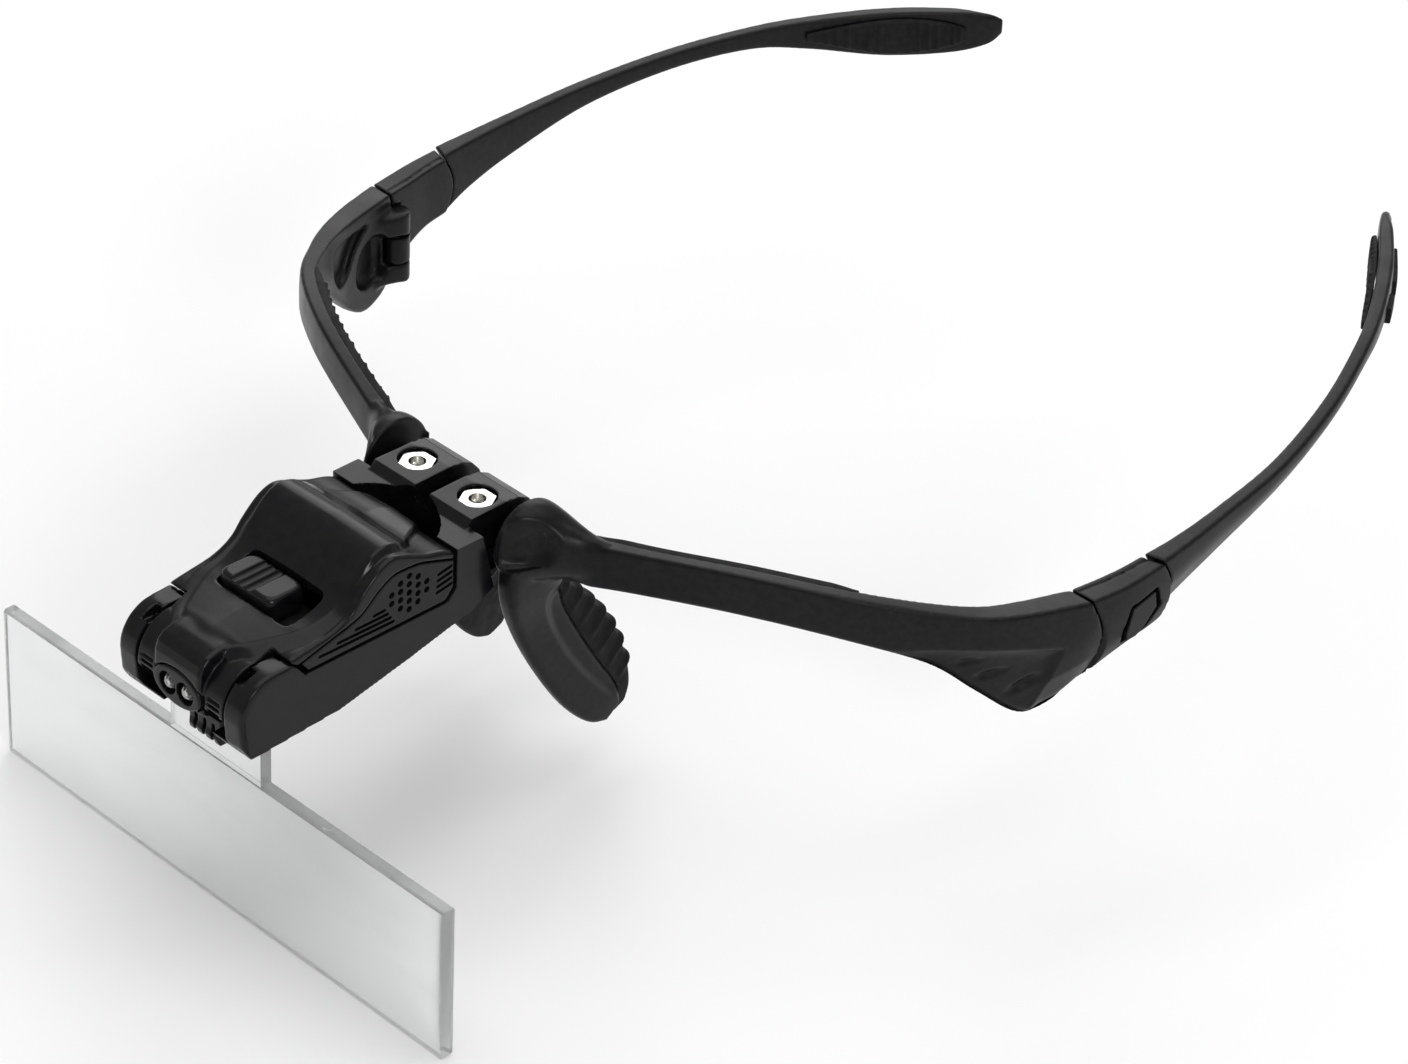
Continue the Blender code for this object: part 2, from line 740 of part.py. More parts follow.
def lens():
    """A thin magnifying plate, bulging a little on both faces, with a tab on top for its clip."""
    rings = []
    for step in range(13):
        across = -1 + step / 6
        bulge = LENS_BULGE * (1 - across * across)
        half = LENS_HEIGHT / 2
        corner = 0.5
        front = [(-bulge * (1 - (k / 4) ** 2), k / 4 * (half - corner)) for k in range(-4, 5)]
        back = [(LENS_EDGE + bulge * (1 - (k / 4) ** 2), -k / 4 * (half - corner)) for k in range(-4, 5)]
        rim_low = [(LENS_EDGE - corner, half), (corner, half)]
        rim_high = [(corner, -half), (LENS_EDGE - corner, -half)]
        outline = front + rim_low[::-1] + back + rim_high[::-1]
        rings.append([(across * LENS_WIDTH / 2, y, z) for y, z in outline])
    plate = loft("lens", rings, clear_acrylic())
    tab = box(
        "lens_tab", (-TAB_HALF, 0.2, LENS_HEIGHT / 2 - 1), (TAB_HALF, 0.2 + TAB_THICK, TAB_TOP), where=cutters
    )
    notch = box("lens_tab_notch", (-4.2, -3, 22.8), (4.2, 6, 30), where=cutters)
    join(plate, tab)
    cut(plate, notch)
    return plate


def lens_clip():
    """A springy U under the carrier's front that grips the lens's tab."""
    outline = [(-1.9, 19.4), (-1.9, 24.1), (4.6, 24.1), (4.6, 19.4)]
    outline += [(3.2, 19.4), (2.7, 23.1), (-0.1, 23.1), (-0.4, 19.4)]
    return slab("lens_clip", outline, -3.8, 3.8, black_plastic())


# ---------------------------------------------------------------- lamp

# Down the lamp's cover: y, lower edge, edge height, half width of the raised spine, its height.
COVER_STATIONS = [
    (-2.6, 37.2, 37.6, 5.4, 38.2),
    (0.0, 37.25, 38.6, 5.6, 39.3),
    (4.4, 37.7, 39.4, 6.8, 40.1),
    (8.0, 38.6, 40.0, 8.8, 40.6),
    (12.4, 39.7, 40.8, 11.2, 41.2),
    (16.0, 40.6, 42.6, 12.0, 43.2),
    (18.4, 41.6, 45.2, 12.3, 45.9),
    (21.6, 44.2, 47.9, 12.4, 49.0),
    (24.6, 45.8, 48.8, 12.4, 50.0),
    (27.6, 45.9, 48.2, 12.2, 49.4),
    (30.4, 45.6, 46.8, 11.4, 47.4),
    (32.4, 45.0, 46.0, 9.6, 46.6),
    (36.2, 43.7, 45.0, 8.2, 45.8),
    (37.5, 43.2, 44.3, 7.6, 44.9),
]
LAMP_HALF = 14.7
WALL = 1.4


def cover_ring(station, inset=0.0, floor=None):
    y, low, edge, spine, top = station
    half = LAMP_HALF - inset
    low = low if floor is None else floor
    edge, top = edge - inset, top - inset
    spine = min(spine, half - 1.6)
    shoulder = [max(edge - 1.0, low + 0.1), max(edge - 0.3, low + 0.2), max(edge, low + 0.3)]
    side = [(half, low), (half, shoulder[0]), (half - 0.35, shoulder[1]), (half - 1.2, shoulder[2])]
    side += [(spine + 0.9, shoulder[2] + 0.1), (spine + 0.2, (edge + top) / 2)]
    side += [(spine - 0.8, top), (0.0, top + 0.15)]
    other = [(-x, z) for x, z in side[-2::-1]]
    return [(x, y, z) for x, z in side + other]


def lamp_cover():
    """The upper shell: nose, deck with the switch slot, and the bulge over the cells."""
    path = smooth_path([Vector(s[:3]) for s in COVER_STATIONS], 2)
    sizes = smooth_path([Vector((s[3], s[4], 0)) for s in COVER_STATIONS], 2)
    stations = [(p.x, p.y, p.z, s.x, s.y) for p, s in zip(path, sizes)]
    cover = loft("lamp_cover", [cover_ring(s) for s in stations], black_plastic())
    nose_outline = [(-6.9, 29.4), (-6.9, 33.2), (-6.3, 35.2), (-4.6, 36.8), (-2.4, 38.2), (0.4, 39.4)]
    nose_outline += [(3.0, 39.6), (3.0, 28.0), (-6.2, 28.0)]
    nose = slab("nose", nose_outline, -5.6, 5.6, where=cutters)
    soften(nose, 0.7, angle=60)
    nose.data = baked(nose).data
    inner = [s for s in stations if 7.0 < s[0] < 36.4]
    hollow = loft("cover_hollow", [cover_ring(s, WALL, 30.0) for s in inner], where=cutters)
    nose_hollow = box("nose_hollow", (-4.1, -3.6, 20), (4.1, 8.0, 36.4), where=cutters)
    ear_room = []
    for side in (-1, 1):
        low = (side * 8.7, -12, 30)
        ear_room.append(box(f"ear_room_{side}", low, (side * 20, 4.9, 50), where=cutters))
    slot_half = KNOB_HALF_X + SWITCH_TRAVEL / 2 + GAP
    slot = rounded_slab("switch_slot", 0, SWITCH_Y, slot_half, KNOB_HALF_Y + GAP, 30, 50)
    recess = rounded_slab_front("bezel_room", 6.0, 3.7, -8.5, -5.6, LAMP_PIVOT_Z)
    join(cover, nose)
    cut(cover, hollow, nose_hollow, *ear_room, slot, recess)
    for side in (-1, 1):
        front = (side * LED_X, -9, LAMP_PIVOT_Z)
        back = (side * LED_X, -3, LAMP_PIVOT_Z)
        cut(cover, rod(f"led_hole_{side}", front, back, LED_FLANGE_RADIUS + 0.1, where=cutters))
        x = side * CASE_SCREW_X
        low = (x, CASE_SCREW_Y, CASE_BOSS_TOP + GAP)
        boss = rod(f"cover_boss_{side}", low, (x, CASE_SCREW_Y, 49.2), 1.9, where=cutters, sides=20)
        low = (x, CASE_SCREW_Y, 30)
        thread = rod(f"cover_boss_hole_{side}", low, (x, CASE_SCREW_Y, 46.4), 1.1, where=cutters, sides=16)
        join(cover, boss)
        cut(cover, thread)
    return cover


def rounded_slab(name, x, y, half_x, half_y, low, high, corner=1.4):
    """An upright rounded bar seen from above as a rounded rectangle."""
    rings = [
        rounded_ring((x, y, z), (1, 0, 0), (0, 1, 0), half_x * 2, half_y * 2, corner, 3) for z in (low, high)
    ]
    return loft(name, rings, where=cutters)


def rounded_slab_front(name, half_x, half_z, front, back, z, mat=None):
    """An oval plug seen from the front, between two depths."""
    rings = []
    for y in (front, back):
        angles = [2 * math.pi * i / 32 for i in range(32)]
        rings.append([(half_x * math.cos(a), y, z + half_z * math.sin(a)) for a in angles])
    return loft(name, rings, mat, None if mat else cutters)




def lamp_base():
    """The lower case: barrel and trunnions, textured sides, belly in the carrier's tray."""
    sides = [(5.7, 37.7), (7.1, WALL_TOP + GAP), (35.9, WALL_TOP + GAP), (37.5, 37.7), (37.5, 42.9)]
    seam = smooth_path([Vector((s[0], s[1], 0)) for s in COVER_STATIONS], 2)
    sides += [(p.x, p.y - GAP) for p in reversed(seam) if 5.7 < p.x < 37.4]
    base = slab("lamp_base", sides, -LAMP_HALF, LAMP_HALF, black_plastic())
    belly_outline = [(10.8, 27.4), (12.8, 27.5), (15.0, 32.2), (36.0, 32.4), (36.0, 37.0), (10.8, 37.0)]
    belly = slab("belly", belly_outline, -12.2, 12.2, where=cutters)
    belly_front = box("belly_front", (-8.7, 3.3, 26.9), (8.7, 11.6, 36.8), where=cutters)
    join(base, belly, belly_front)
    hollow = slab(
        "base_hollow",
        [(12.0, 28.7), (12.2, 28.9), (14.4, 33.6), (34.6, 33.6), (34.6, 52), (12.0, 52)],
        -10.8,
        10.8,
        where=cutters,
    )
    front_hollow = box("base_front_hollow", (-7.4, 6.6, 28.4), (7.4, 12.6, 52), where=cutters)
    upper_hollow = slab(
        "base_upper_hollow", [(7.6, 37.4), (35.9, 37.4), (35.9, 52), (7.6, 52)], -13.3, 13.3, where=cutters
    )
    cut(base, hollow, front_hollow, upper_hollow)
    for side in (-1, 1):
        barrel = rod(
            f"barrel_{side}",
            (side * 5.9, LAMP_PIVOT_Y, LAMP_PIVOT_Z),
            (side * 8.7, LAMP_PIVOT_Y, LAMP_PIVOT_Z),
            LAMP_BARREL_RADIUS,
            where=cutters,
            sides=32,
        )
        web = box(f"barrel_web_{side}", (side * 5.9, 0.0, 27.3), (side * 8.7, 6.0, 36.6), where=cutters)
        trunnion = rod(
            f"trunnion_{side}",
            (side * 8.0, LAMP_PIVOT_Y, LAMP_PIVOT_Z),
            (side * 12.0, LAMP_PIVOT_Y, LAMP_PIVOT_Z),
            2.1,
            where=cutters,
        )
        x = side * CASE_SCREW_X
        top = (x, CASE_SCREW_Y, CASE_BOSS_TOP)
        boss = rod(f"base_boss_{side}", (x, CASE_SCREW_Y, 32.6), top, 2.3, where=cutters, sides=20)
        bottom = (x, CASE_SCREW_Y, 28)
        shaft = rod(f"base_boss_hole_{side}", bottom, (x, CASE_SCREW_Y, 43), 1.1, where=cutters, sides=16)
        seat = rod(f"base_boss_seat_{side}", bottom, (x, CASE_SCREW_Y, 33.6), 1.75, where=cutters, sides=16)
        join(base, barrel, web, trunnion, boss)
        cut(base, shaft, seat)
    boss = box("battery_boss", (-2.2, 30.5, 33.0), (2.2, 36.5, 38.5), where=cutters)
    join(base, boss)
    half = BATTERY_COVER_HALF + GAP
    opening = box("battery_opening", (-half, 18.1, 30), (half, 33.9, 33.9), where=cutters)
    low = (0, BATTERY_SCREW_Y, 30)
    hole = rod("battery_screw_hole", low, (0, BATTERY_SCREW_Y, 37.5), 1.0, where=cutters, sides=16)
    board_way = box("board_way", (-BOARD_HALF - 0.4, 2.0, 30.4), (BOARD_HALF + 0.4, 7.6, 36.4), where=cutters)
    cut(base, opening, hole, board_way)
    return base


def battery_cover():
    """The plate under the cells."""
    half = BATTERY_COVER_HALF
    plate = box("battery_cover", (-half, 18.4, 32.2), (half, 33.6, 33.6), black_plastic())
    low = (0, BATTERY_SCREW_Y, 30)
    hole = rod("battery_cover_hole", low, (0, BATTERY_SCREW_Y, 36), 1.0, where=cutters, sides=16)
    seat = rod("battery_cover_seat", low, (0, BATTERY_SCREW_Y, 33.0), 1.9, where=cutters, sides=16)
    cut(plate, hole, seat)
    return plate


def small_screw(name, place, low, high, head_radius, shaft_radius, head_height=0.5):
    """A screw with its flat head at the bottom, at an (x, y) place."""
    length = high - low
    profile = [(0.0, length), (shaft_radius, length), (shaft_radius, head_height)]
    profile += [(head_radius, head_height), (head_radius, 0.0), (0.0, 0.0)]
    return turned(name, profile, (*place, low), (0, 0, 1), bright_nickel(), steps=16)


def led():
    """A 3 mm light: flange, barrel and dome, pointing forwards."""
    dome = [(LED_RADIUS * math.cos(a), 3.4 + LED_RADIUS * math.sin(a)) for a in (1.4, 1.05, 0.7, 0.35, 0.0)]
    profile = [(0.0, 3.4 + LED_RADIUS), *dome, (LED_RADIUS, 0.8)]
    profile += [(LED_FLANGE_RADIUS, 0.8), (LED_FLANGE_RADIUS, 0.0), (0.0, 0.0)]
    return turned("led_left", profile, (LED_X, -2.9, LAMP_PIVOT_Z), (0, -1, 0), clear_acrylic(), steps=20)


def led_bezel():
    """The oval ring around both lights, with a flared well for each."""
    bezel = rounded_slab_front("led_bezel", 5.7, 3.4, -7.6, -5.9, LAMP_PIVOT_Z, black_plastic())
    for side in (-1, 1):
        well = rod(
            f"led_well_{side}",
            (side * LED_X, -8.0, LAMP_PIVOT_Z),
            (side * LED_X, -5.0, LAMP_PIVOT_Z),
            2.05,
            where=cutters,
            end_radius=1.75,
        )
        cut(bezel, well)
    return bezel


def lamp_board():
    """The board under the switch, reaching forwards between the barrels to the lights."""
    low = (-BOARD_HALF, -2.2, BOARD_LOW)
    return box("lamp_board", low, (BOARD_HALF, 17.4, BOARD_HIGH), board_green())


def button_cell(number):
    x = (number - 2) * CELL_PITCH
    half = CELL_THICK / 2
    profile = [(0.0, half), (4.6, half), (4.9, half - 0.35), (5.5, half - 0.35), (CELL_RADIUS, half - 0.65)]
    profile += [(CELL_RADIUS, -half + 0.3), (CELL_RADIUS - 0.3, -half), (0.0, -half)]
    name = f"button_cell_{number}"
    return turned(name, profile, (x, CELL_Y, CELL_Z), (1, 0, 0), cell_steel(), steps=28)


def battery_contact():
    """A tinned plate at the end of the row of cells, with a sprung dimple."""
    near = CELL_PITCH + CELL_THICK / 2 + GAP
    low = (near + 1.1, CELL_Y - 3.6, 36.4)
    plate = box("battery_contact_left", low, (near + 1.5, CELL_Y + 3.6, 45.0), bright_nickel())
    dimple = rod(
        "contact_dimple",
        (near, CELL_Y, CELL_Z),
        (near + 1.3, CELL_Y, CELL_Z),
        1.2,
        where=cutters,
        sides=16,
        end_radius=2.2,
    )
    join(plate, dimple)
    return plate


def switch_knob():
    """The sliding knob, with grooves across its travel."""
    rings = []
    for z, inset in ((38.9, 0.0), (41.9, 0.0), (42.5, 0.5), (42.7, 1.2)):
        size = (KNOB_HALF_X * 2 - inset, KNOB_HALF_Y * 2 - inset)
        rings.append(rounded_ring((KNOB_X, SWITCH_Y, z), (1, 0, 0), (0, 1, 0), *size, 1.3, 3))
    knob = loft("switch_knob", rings, black_plastic())
    for step in range(3):
        x = KNOB_X - 1.9 + step * 1.7
        low = (x, SWITCH_Y - 9, 42.0)
        cut(knob, box(f"knob_groove_{step}", low, (x + 0.8, SWITCH_Y + 9, 50), where=cutters))
    return knob


def switch_slider():
    """The contact carrier under the knob, which wipes the board."""
    low = (KNOB_X - 2.4, SWITCH_Y - 2.0, BOARD_HIGH + GAP)
    return box("switch_slider", low, (KNOB_X + 2.4, SWITCH_Y + 2.0, 38.6), black_plastic())


def build_scene():
    global parts, cutters
    clear_scene()
    parts = new_collection("head_visor_magnifier")
    cutters = new_collection("cutters")
    front_frame()
    lamp_carrier()
    fixed = [nose_pad(), brow_pad(), hinge_pin()]
    link = [hinge_link(), latch_spring()]
    button = latch_button()
    arm = [temple(), temple_pad()]
    clamp = [clamp_shoe(), clamp_screw(), clamp_nut()]
    case_screw = small_screw("case_screw_left", (CASE_SCREW_X, CASE_SCREW_Y), 32.6, 46.0, 1.45, 0.8)
    contact = battery_contact()
    diode = led()
    for obj in [*fixed, *link, button, *arm, *clamp, case_screw, contact, diode]:
        mirrored(obj, obj.name.replace("_left", "_right"))
    plate = lens()
    clip = lens_clip()
    lamp = [lamp_cover(), lamp_base(), battery_cover(), led_bezel(), lamp_board()]
    lamp.append(small_screw("battery_cover_screw", (0, BATTERY_SCREW_Y), 32.2, 36.8, 1.5, 0.7))
    lamp += [button_cell(number) for number in (1, 2, 3)]
    switch = [switch_knob(), switch_slider()]
    tilt_axis = (0, TILT_Y, TILT_Z)
    lamp_axis = (0, LAMP_PIVOT_Y, LAMP_PIVOT_Z)
    for obj in [bpy.data.objects["lamp_carrier"], clip]:
        set_origin(obj, tilt_axis)
    set_origin(plate, (0, 0.2 + TAB_THICK / 2, TAB_TOP))
    for obj in lamp:
        set_origin(obj, lamp_axis)
    for obj in switch:
        set_origin(obj, (KNOB_X, SWITCH_Y, 38.9))
    for side, end in ((1, "_left"), (-1, "_right")):
        for obj in clamp:
            set_origin(other(obj, end), tilt_axis)
        for obj in (case_screw, contact, diode):
            set_origin(other(obj, end), lamp_axis)
        for obj in link:
            set_origin(other(obj, end), (side * HINGE_X, HINGE_Y, KNUCKLE_LOW))
        set_origin(other(button, end), (side * BUTTON_OUTER, BUTTON_Y, (BUTTON_LOW + BUTTON_HIGH) / 2))
        for obj in arm:
            set_origin(other(obj, end), (side * SOCKET_OUTER, LINK_BACK, (SOCKET_LOW + SOCKET_HIGH) / 2))


def other(obj, end):
    """The left or right one of a mirrored pair."""
    return bpy.data.objects[obj.name.replace("_left", end)]


build_scene()
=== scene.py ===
import math

import bmesh
import bpy
import numpy as np
from mathutils import Matrix, Vector


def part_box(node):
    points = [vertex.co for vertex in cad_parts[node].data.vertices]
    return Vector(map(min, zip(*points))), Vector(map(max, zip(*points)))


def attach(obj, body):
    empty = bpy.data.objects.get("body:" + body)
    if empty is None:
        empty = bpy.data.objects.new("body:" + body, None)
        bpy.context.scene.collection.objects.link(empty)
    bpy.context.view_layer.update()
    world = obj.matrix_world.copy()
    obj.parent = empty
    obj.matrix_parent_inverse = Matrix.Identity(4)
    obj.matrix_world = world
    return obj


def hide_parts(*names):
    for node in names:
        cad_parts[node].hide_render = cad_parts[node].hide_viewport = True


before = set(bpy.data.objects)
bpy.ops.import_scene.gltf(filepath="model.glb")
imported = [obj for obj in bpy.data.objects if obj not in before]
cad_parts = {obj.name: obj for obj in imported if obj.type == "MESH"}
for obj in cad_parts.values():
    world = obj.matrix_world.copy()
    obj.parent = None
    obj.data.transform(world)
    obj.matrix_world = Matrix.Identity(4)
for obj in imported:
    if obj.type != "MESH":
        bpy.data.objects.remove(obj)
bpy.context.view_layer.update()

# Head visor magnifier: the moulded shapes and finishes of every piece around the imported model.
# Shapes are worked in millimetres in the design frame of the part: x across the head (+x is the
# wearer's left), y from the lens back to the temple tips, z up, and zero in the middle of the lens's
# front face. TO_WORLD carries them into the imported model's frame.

MM = 0.001
LENS_BULGE = 0.4
LENS_LOW, LENS_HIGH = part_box("lens")
LENS_HALF_WIDTH = (LENS_HIGH[0] - LENS_LOW[0]) / 2 / MM
LENS_HALF_HEIGHT = 14.5
LENS_THICK = 2.6
ORIGIN = Vector((0, LENS_LOW[1] + LENS_BULGE * MM, LENS_LOW[2] + LENS_HALF_HEIGHT * MM))
TO_WORLD = Matrix.Translation(ORIGIN) @ Matrix.Scale(MM, 4)
COARSE = 1.0

# Axes of the joints: the visor's tilt, the lamp's tilt at y = 0 and the temple's hinge.
TILT_Y, TILT_Z = 54.0, 38.8
PIVOT_Z = 31.4
HINGE_X, HINGE_Y = HINGE = (80.4, 110.3)
# The hinge's lugs, and the room between them where the link's knuckle turns.
LUG_ROUND = 2.4
KNUCKLE_LOW, KNUCKLE_HIGH = 26.1, 31.7
# Where the link ends and the temple begins.
LINK_END = 125.75
# The bridge barrel, the bore round it, and how far across each clamp arm runs.
BARREL_ROUND, CLAMP_ROUND = 3.2, 3.5
CLAMP_INNER, CLAMP_OUTER = 1.7, 11.6
CLAMP_X, CLAMP_Y = CLAMP_SCREW = (7.2, 49.3)
SCREW_HOLE = 1.5
# The lamp: half its width, where it steps in beside the carrier's ears, its gaps, screws and lights.
LAMP_HALF = 14.7
EAR_INNER = 10.25
GAP = 0.3
CASE_X, CASE_Y = CASE_SCREW = (9.8, 24.4)
LID_SCREW = (0, 32)
LIGHT_X = 2.1
# The switch knob at rest, half its width and depth, and its travel to each side of the middle.
KNOB_X, SWITCH_Y = -2.0, 11.8
KNOB_HALF, KNOB_DEEP = 6.4, 3.9
KNOB_TRAVEL = 2.0
# The brow pads' teeth, the nose pads' ribs, and the clamp nuts across the flats.
TOOTH_PITCH, RIB_PITCH, NUT_WIDTH = 3.0, 4.1, 5.4

bench = bpy.data.collections.new("bench")
bpy.context.scene.collection.children.link(bench)
shown = bpy.data.collections.new("magnifier")
bpy.context.scene.collection.children.link(shown)


# -------------------- numbers and outlines


def ramp(value, start, end):
    """0 before start, 1 after end, and a smooth rise between them."""
    t = np.clip((np.asarray(value, float) - start) / (end - start), 0, 1)
    return t * t * (3 - 2 * t)


def spread(points, per_span):
    """A smooth curve through rows of numbers."""
    points = [np.array(p, float) for p in points]
    ends = [2 * points[0] - points[1], *points, 2 * points[-1] - points[-2]]
    out = []
    for a, b, c, d in zip(ends, ends[1:], ends[2:], ends[3:]):
        for k in range(per_span):
            t = k / per_span
            bend = 2 * a - 5 * b + 4 * c - d
            twist = 3 * b - a - 3 * c + d
            out.append(b + (c - a) * t / 2 + bend * t * t / 2 + twist * t**3 / 2)
    out.append(points[-1])
    return np.array(out)


def filleted(corners, radii, steps=4):
    """A closed 2-D outline with its corners rounded."""
    corners = [np.array(c, float) for c in corners]
    if isinstance(radii, (int, float)):
        radii = [radii] * len(corners)
    out = []
    for i, corner in enumerate(corners):
        before = corners[i - 1] - corner
        after = corners[(i + 1) % len(corners)] - corner
        long_before, long_after = np.linalg.norm(before), np.linalg.norm(after)
        reach = min(radii[i], long_before * 0.48, long_after * 0.48)
        start = corner + before / long_before * reach
        end = corner + after / long_after * reach
        for k in range(steps + 1):
            t = k / steps
            out.append((1 - t) ** 2 * start + 2 * t * (1 - t) * corner + t * t * end)
    return out


def arc(centre, radius, start, end, steps):
    """Points along part of a circle, from one angle in degrees to another."""
    angles = [math.radians(start + (end - start) * i / steps) for i in range(steps + 1)]
    return [(centre[0] + radius * math.cos(a), centre[1] + radius * math.sin(a)) for a in angles]


def oval(centre, half_wide, half_high, count):
    """A closed ring of points round a centre."""
    angles = np.arange(count) * math.pi / (count / 2)
    return [(centre[0] + half_wide * math.cos(a), centre[1] + half_high * math.sin(a)) for a in angles]


def scaled(outline, middle, factor):
    return [middle + (np.array(p) - middle) * factor for p in outline]


# -------------------- working solids


def on_bench(mesh):
    obj = bpy.data.objects.new("solid", mesh)
    bench.objects.link(obj)
    return obj


def draft(points, faces):
    """A closed working solid, with its faces turned outwards."""
    mesh = bpy.data.meshes.new("solid")
    mesh.from_pydata([tuple(p) for p in points], [], faces)
    bm = bmesh.new()
    bm.from_mesh(mesh)
    bmesh.ops.recalc_face_normals(bm, faces=bm.faces)
    bm.to_mesh(mesh)
    bm.free()
    return on_bench(mesh)


def loft(rings):
    """A closed solid through rings of equal length."""
    count = len(rings[0])
    points = [p for ring in rings for p in ring]
    faces = []
    for r in range(len(rings) - 1):
        for i in range(count):
            j = (i + 1) % count
            faces.append((r * count + i, r * count + j, (r + 1) * count + j, (r + 1) * count + i))
    faces.append(tuple(range(count)))
    faces.append(tuple(range((len(rings) - 1) * count, len(rings) * count)))
    return draft(points, faces)


def across(outline, low_x, high_x):
    """A side profile of (y, z) points, extruded across the head."""
    return loft([[(x, y, z) for y, z in outline] for x in (low_x, high_x)])


def upright(outline, low_z, high_z):
    """A plan of (x, y) points, extruded upwards."""
    return loft([[(x, y, z) for x, y in outline] for z in (low_z, high_z)])


def facing(outline, front_y, back_y):
    """A front view of (x, z) points, extruded from front to back."""
    return loft([[(x, y, z) for x, z in outline] for y in (front_y, back_y)])


def block(low, high, radius=0.0):
    """A box between two corners, its upright edges rounded by radius."""
    outline = [(low[0], low[1]), (high[0], low[1]), (high[0], high[1]), (low[0], high[1])]
    if radius:
        outline = filleted(outline, radius)
    return upright(outline, low[2], high[2])


def turned(profile, centre, axis, steps=40):
    """A profile of (radius, height) points turned about an axis. It starts and ends on the axis."""
    turn = np.array(Vector(axis).to_track_quat("Z", "Y").to_matrix())
    centre = np.array(centre, float)
    inner = profile[1:-1]
    points = [centre + turn @ np.array([0, 0, profile[0][1]])]
    for radius, height in inner:
        for k in range(steps):
            a = 2 * math.pi * k / steps
            points.append(centre + turn @ np.array([radius * math.cos(a), radius * math.sin(a), height]))
    points.append(centre + turn @ np.array([0, 0, profile[-1][1]]))
    faces = []
    last = len(points) - 1
    for k in range(steps):
        j = (k + 1) % steps
        faces.append((0, 1 + k, 1 + j))
        for r in range(len(inner) - 1):
            a, b = 1 + r * steps, 1 + (r + 1) * steps
            faces.append((a + k, b + k, b + j, a + j))
        a = 1 + (len(inner) - 1) * steps
        faces.append((last, a + j, a + k))
    return draft(points, faces)


def rod(start, end, radius, end_radius=None, steps=40):
    """A cylinder or cone between two points."""
    start, end = np.array(start, float), np.array(end, float)
    length = float(np.linalg.norm(end - start))
    other = radius if end_radius is None else end_radius
    profile = [(0, length), (other, length), (radius, 0), (0, 0)]
    return turned(profile, start, tuple(end - start), steps)


def peg(place, low, high, radius, steps=40):
    """An upright rod at a place (x, y)."""
    return rod((*place, low), (*place, high), radius, steps=steps)


def mirrored(obj):
    mesh = obj.data.copy()
    mesh.transform(Matrix.Diagonal((-1, 1, 1, 1)))
    mesh.flip_normals()
    return on_bench(mesh)


def both(*objs):
    """Working solids with their mirror images."""
    return [*objs, *[mirrored(obj) for obj in objs]]


def settled(obj):
    """The working solid with its modifiers applied."""
    bpy.context.view_layer.update()
    graph = bpy.context.evaluated_depsgraph_get()
    mesh = bpy.data.meshes.new_from_object(obj.evaluated_get(graph))
    obj.modifiers.clear()
    obj.data = mesh
    return obj


def carved(adds, cuts=(), within=()):
    """One working solid: all the adds, less the cuts, and only what is inside within."""
    base = adds[0]
    for operation, others in (("UNION", adds[1:]), ("DIFFERENCE", cuts), ("INTERSECT", within)):
        for other in others:
            step = base.modifiers.new("step", "BOOLEAN")
            step.operation = operation
            step.object = other
            step.solver = "MANIFOLD"
    return settled(base)


def moulded(adds, cuts=(), voxel=0.3, rounds=4):
    """A working solid with the small rounded edges of a moulding."""
    base = carved(adds, cuts)
    remesh = base.modifiers.new("remesh", "REMESH")
    remesh.mode = "VOXEL"
    remesh.voxel_size = voxel * COARSE
    remesh.use_smooth_shade = True
    soft = base.modifiers.new("soft", "SMOOTH")
    soft.factor = 0.5
    soft.iterations = rounds
    return settled(base)


def vectors_of(obj, key):
    """The places (co) or normals of the points, as rows."""
    out = np.empty(len(obj.data.vertices) * 3)
    obj.data.vertices.foreach_get(key, out)
    return out.reshape(-1, 3)


def set_points(obj, co):
    obj.data.vertices.foreach_set("co", co.reshape(-1))
    obj.data.update()


def press(obj, move):
    """Moves every point by move(points, normals)."""
    co = vectors_of(obj, "co")
    obj.data.update()
    set_points(obj, co + move(co, vectors_of(obj, "normal")))


def melt(obj, weight, rounds):
    """Smooths the surface where weight(points) is above zero, as a large fillet does."""
    co = vectors_of(obj, "co")
    edges = np.empty(len(obj.data.edges) * 2, np.int64)
    obj.data.edges.foreach_get("vertices", edges)
    a, b = edges.reshape(-1, 2).T
    w = weight(co)[:, None]
    count = len(co)
    degree = (np.bincount(a, minlength=count) + np.bincount(b, minlength=count))[:, None]
    for _ in range(rounds):
        total = np.empty_like(co)
        for k in range(3):
            total[:, k] = np.bincount(a, co[b, k], count) + np.bincount(b, co[a, k], count)
        co = co + w * 0.6 * (total / degree - co)
    set_points(obj, co)


def near(centre, radius):
    """A weight that is 1 close to a place and falls to 0 at a radius."""
    centre = np.array(centre, float)
    return lambda co: 1 - ramp(np.linalg.norm(co - centre, axis=1), radius * 0.55, radius)


def thinned(obj, ratio):
    """The same surface with fewer triangles where it is flat."""
    step = obj.modifiers.new("thin", "DECIMATE")
    step.ratio = ratio
    return settled(obj)


def together(*objs):
    """Several closed shells as one piece."""
    bm = bmesh.new()
    for obj in objs:
        bm.from_mesh(obj.data)
    mesh = bpy.data.meshes.new("together")
    bm.to_mesh(mesh)
    bm.free()
    return on_bench(mesh)


def piece(name, obj, look, body, slot, *nodes, sharp=35):
    """Puts a working solid into the model as a shown piece."""
    mesh = obj.data.copy()
    mesh.transform(TO_WORLD)
    mesh.materials.clear()
    mesh.materials.append(look)
    mesh.shade_smooth()
    mesh.set_sharp_from_angle(angle=math.radians(sharp))
    mesh.name = name
    made = bpy.data.objects.new(name, mesh)
    shown.objects.link(made)
    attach(made, body)
    if nodes:
        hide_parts(*nodes)
    return made


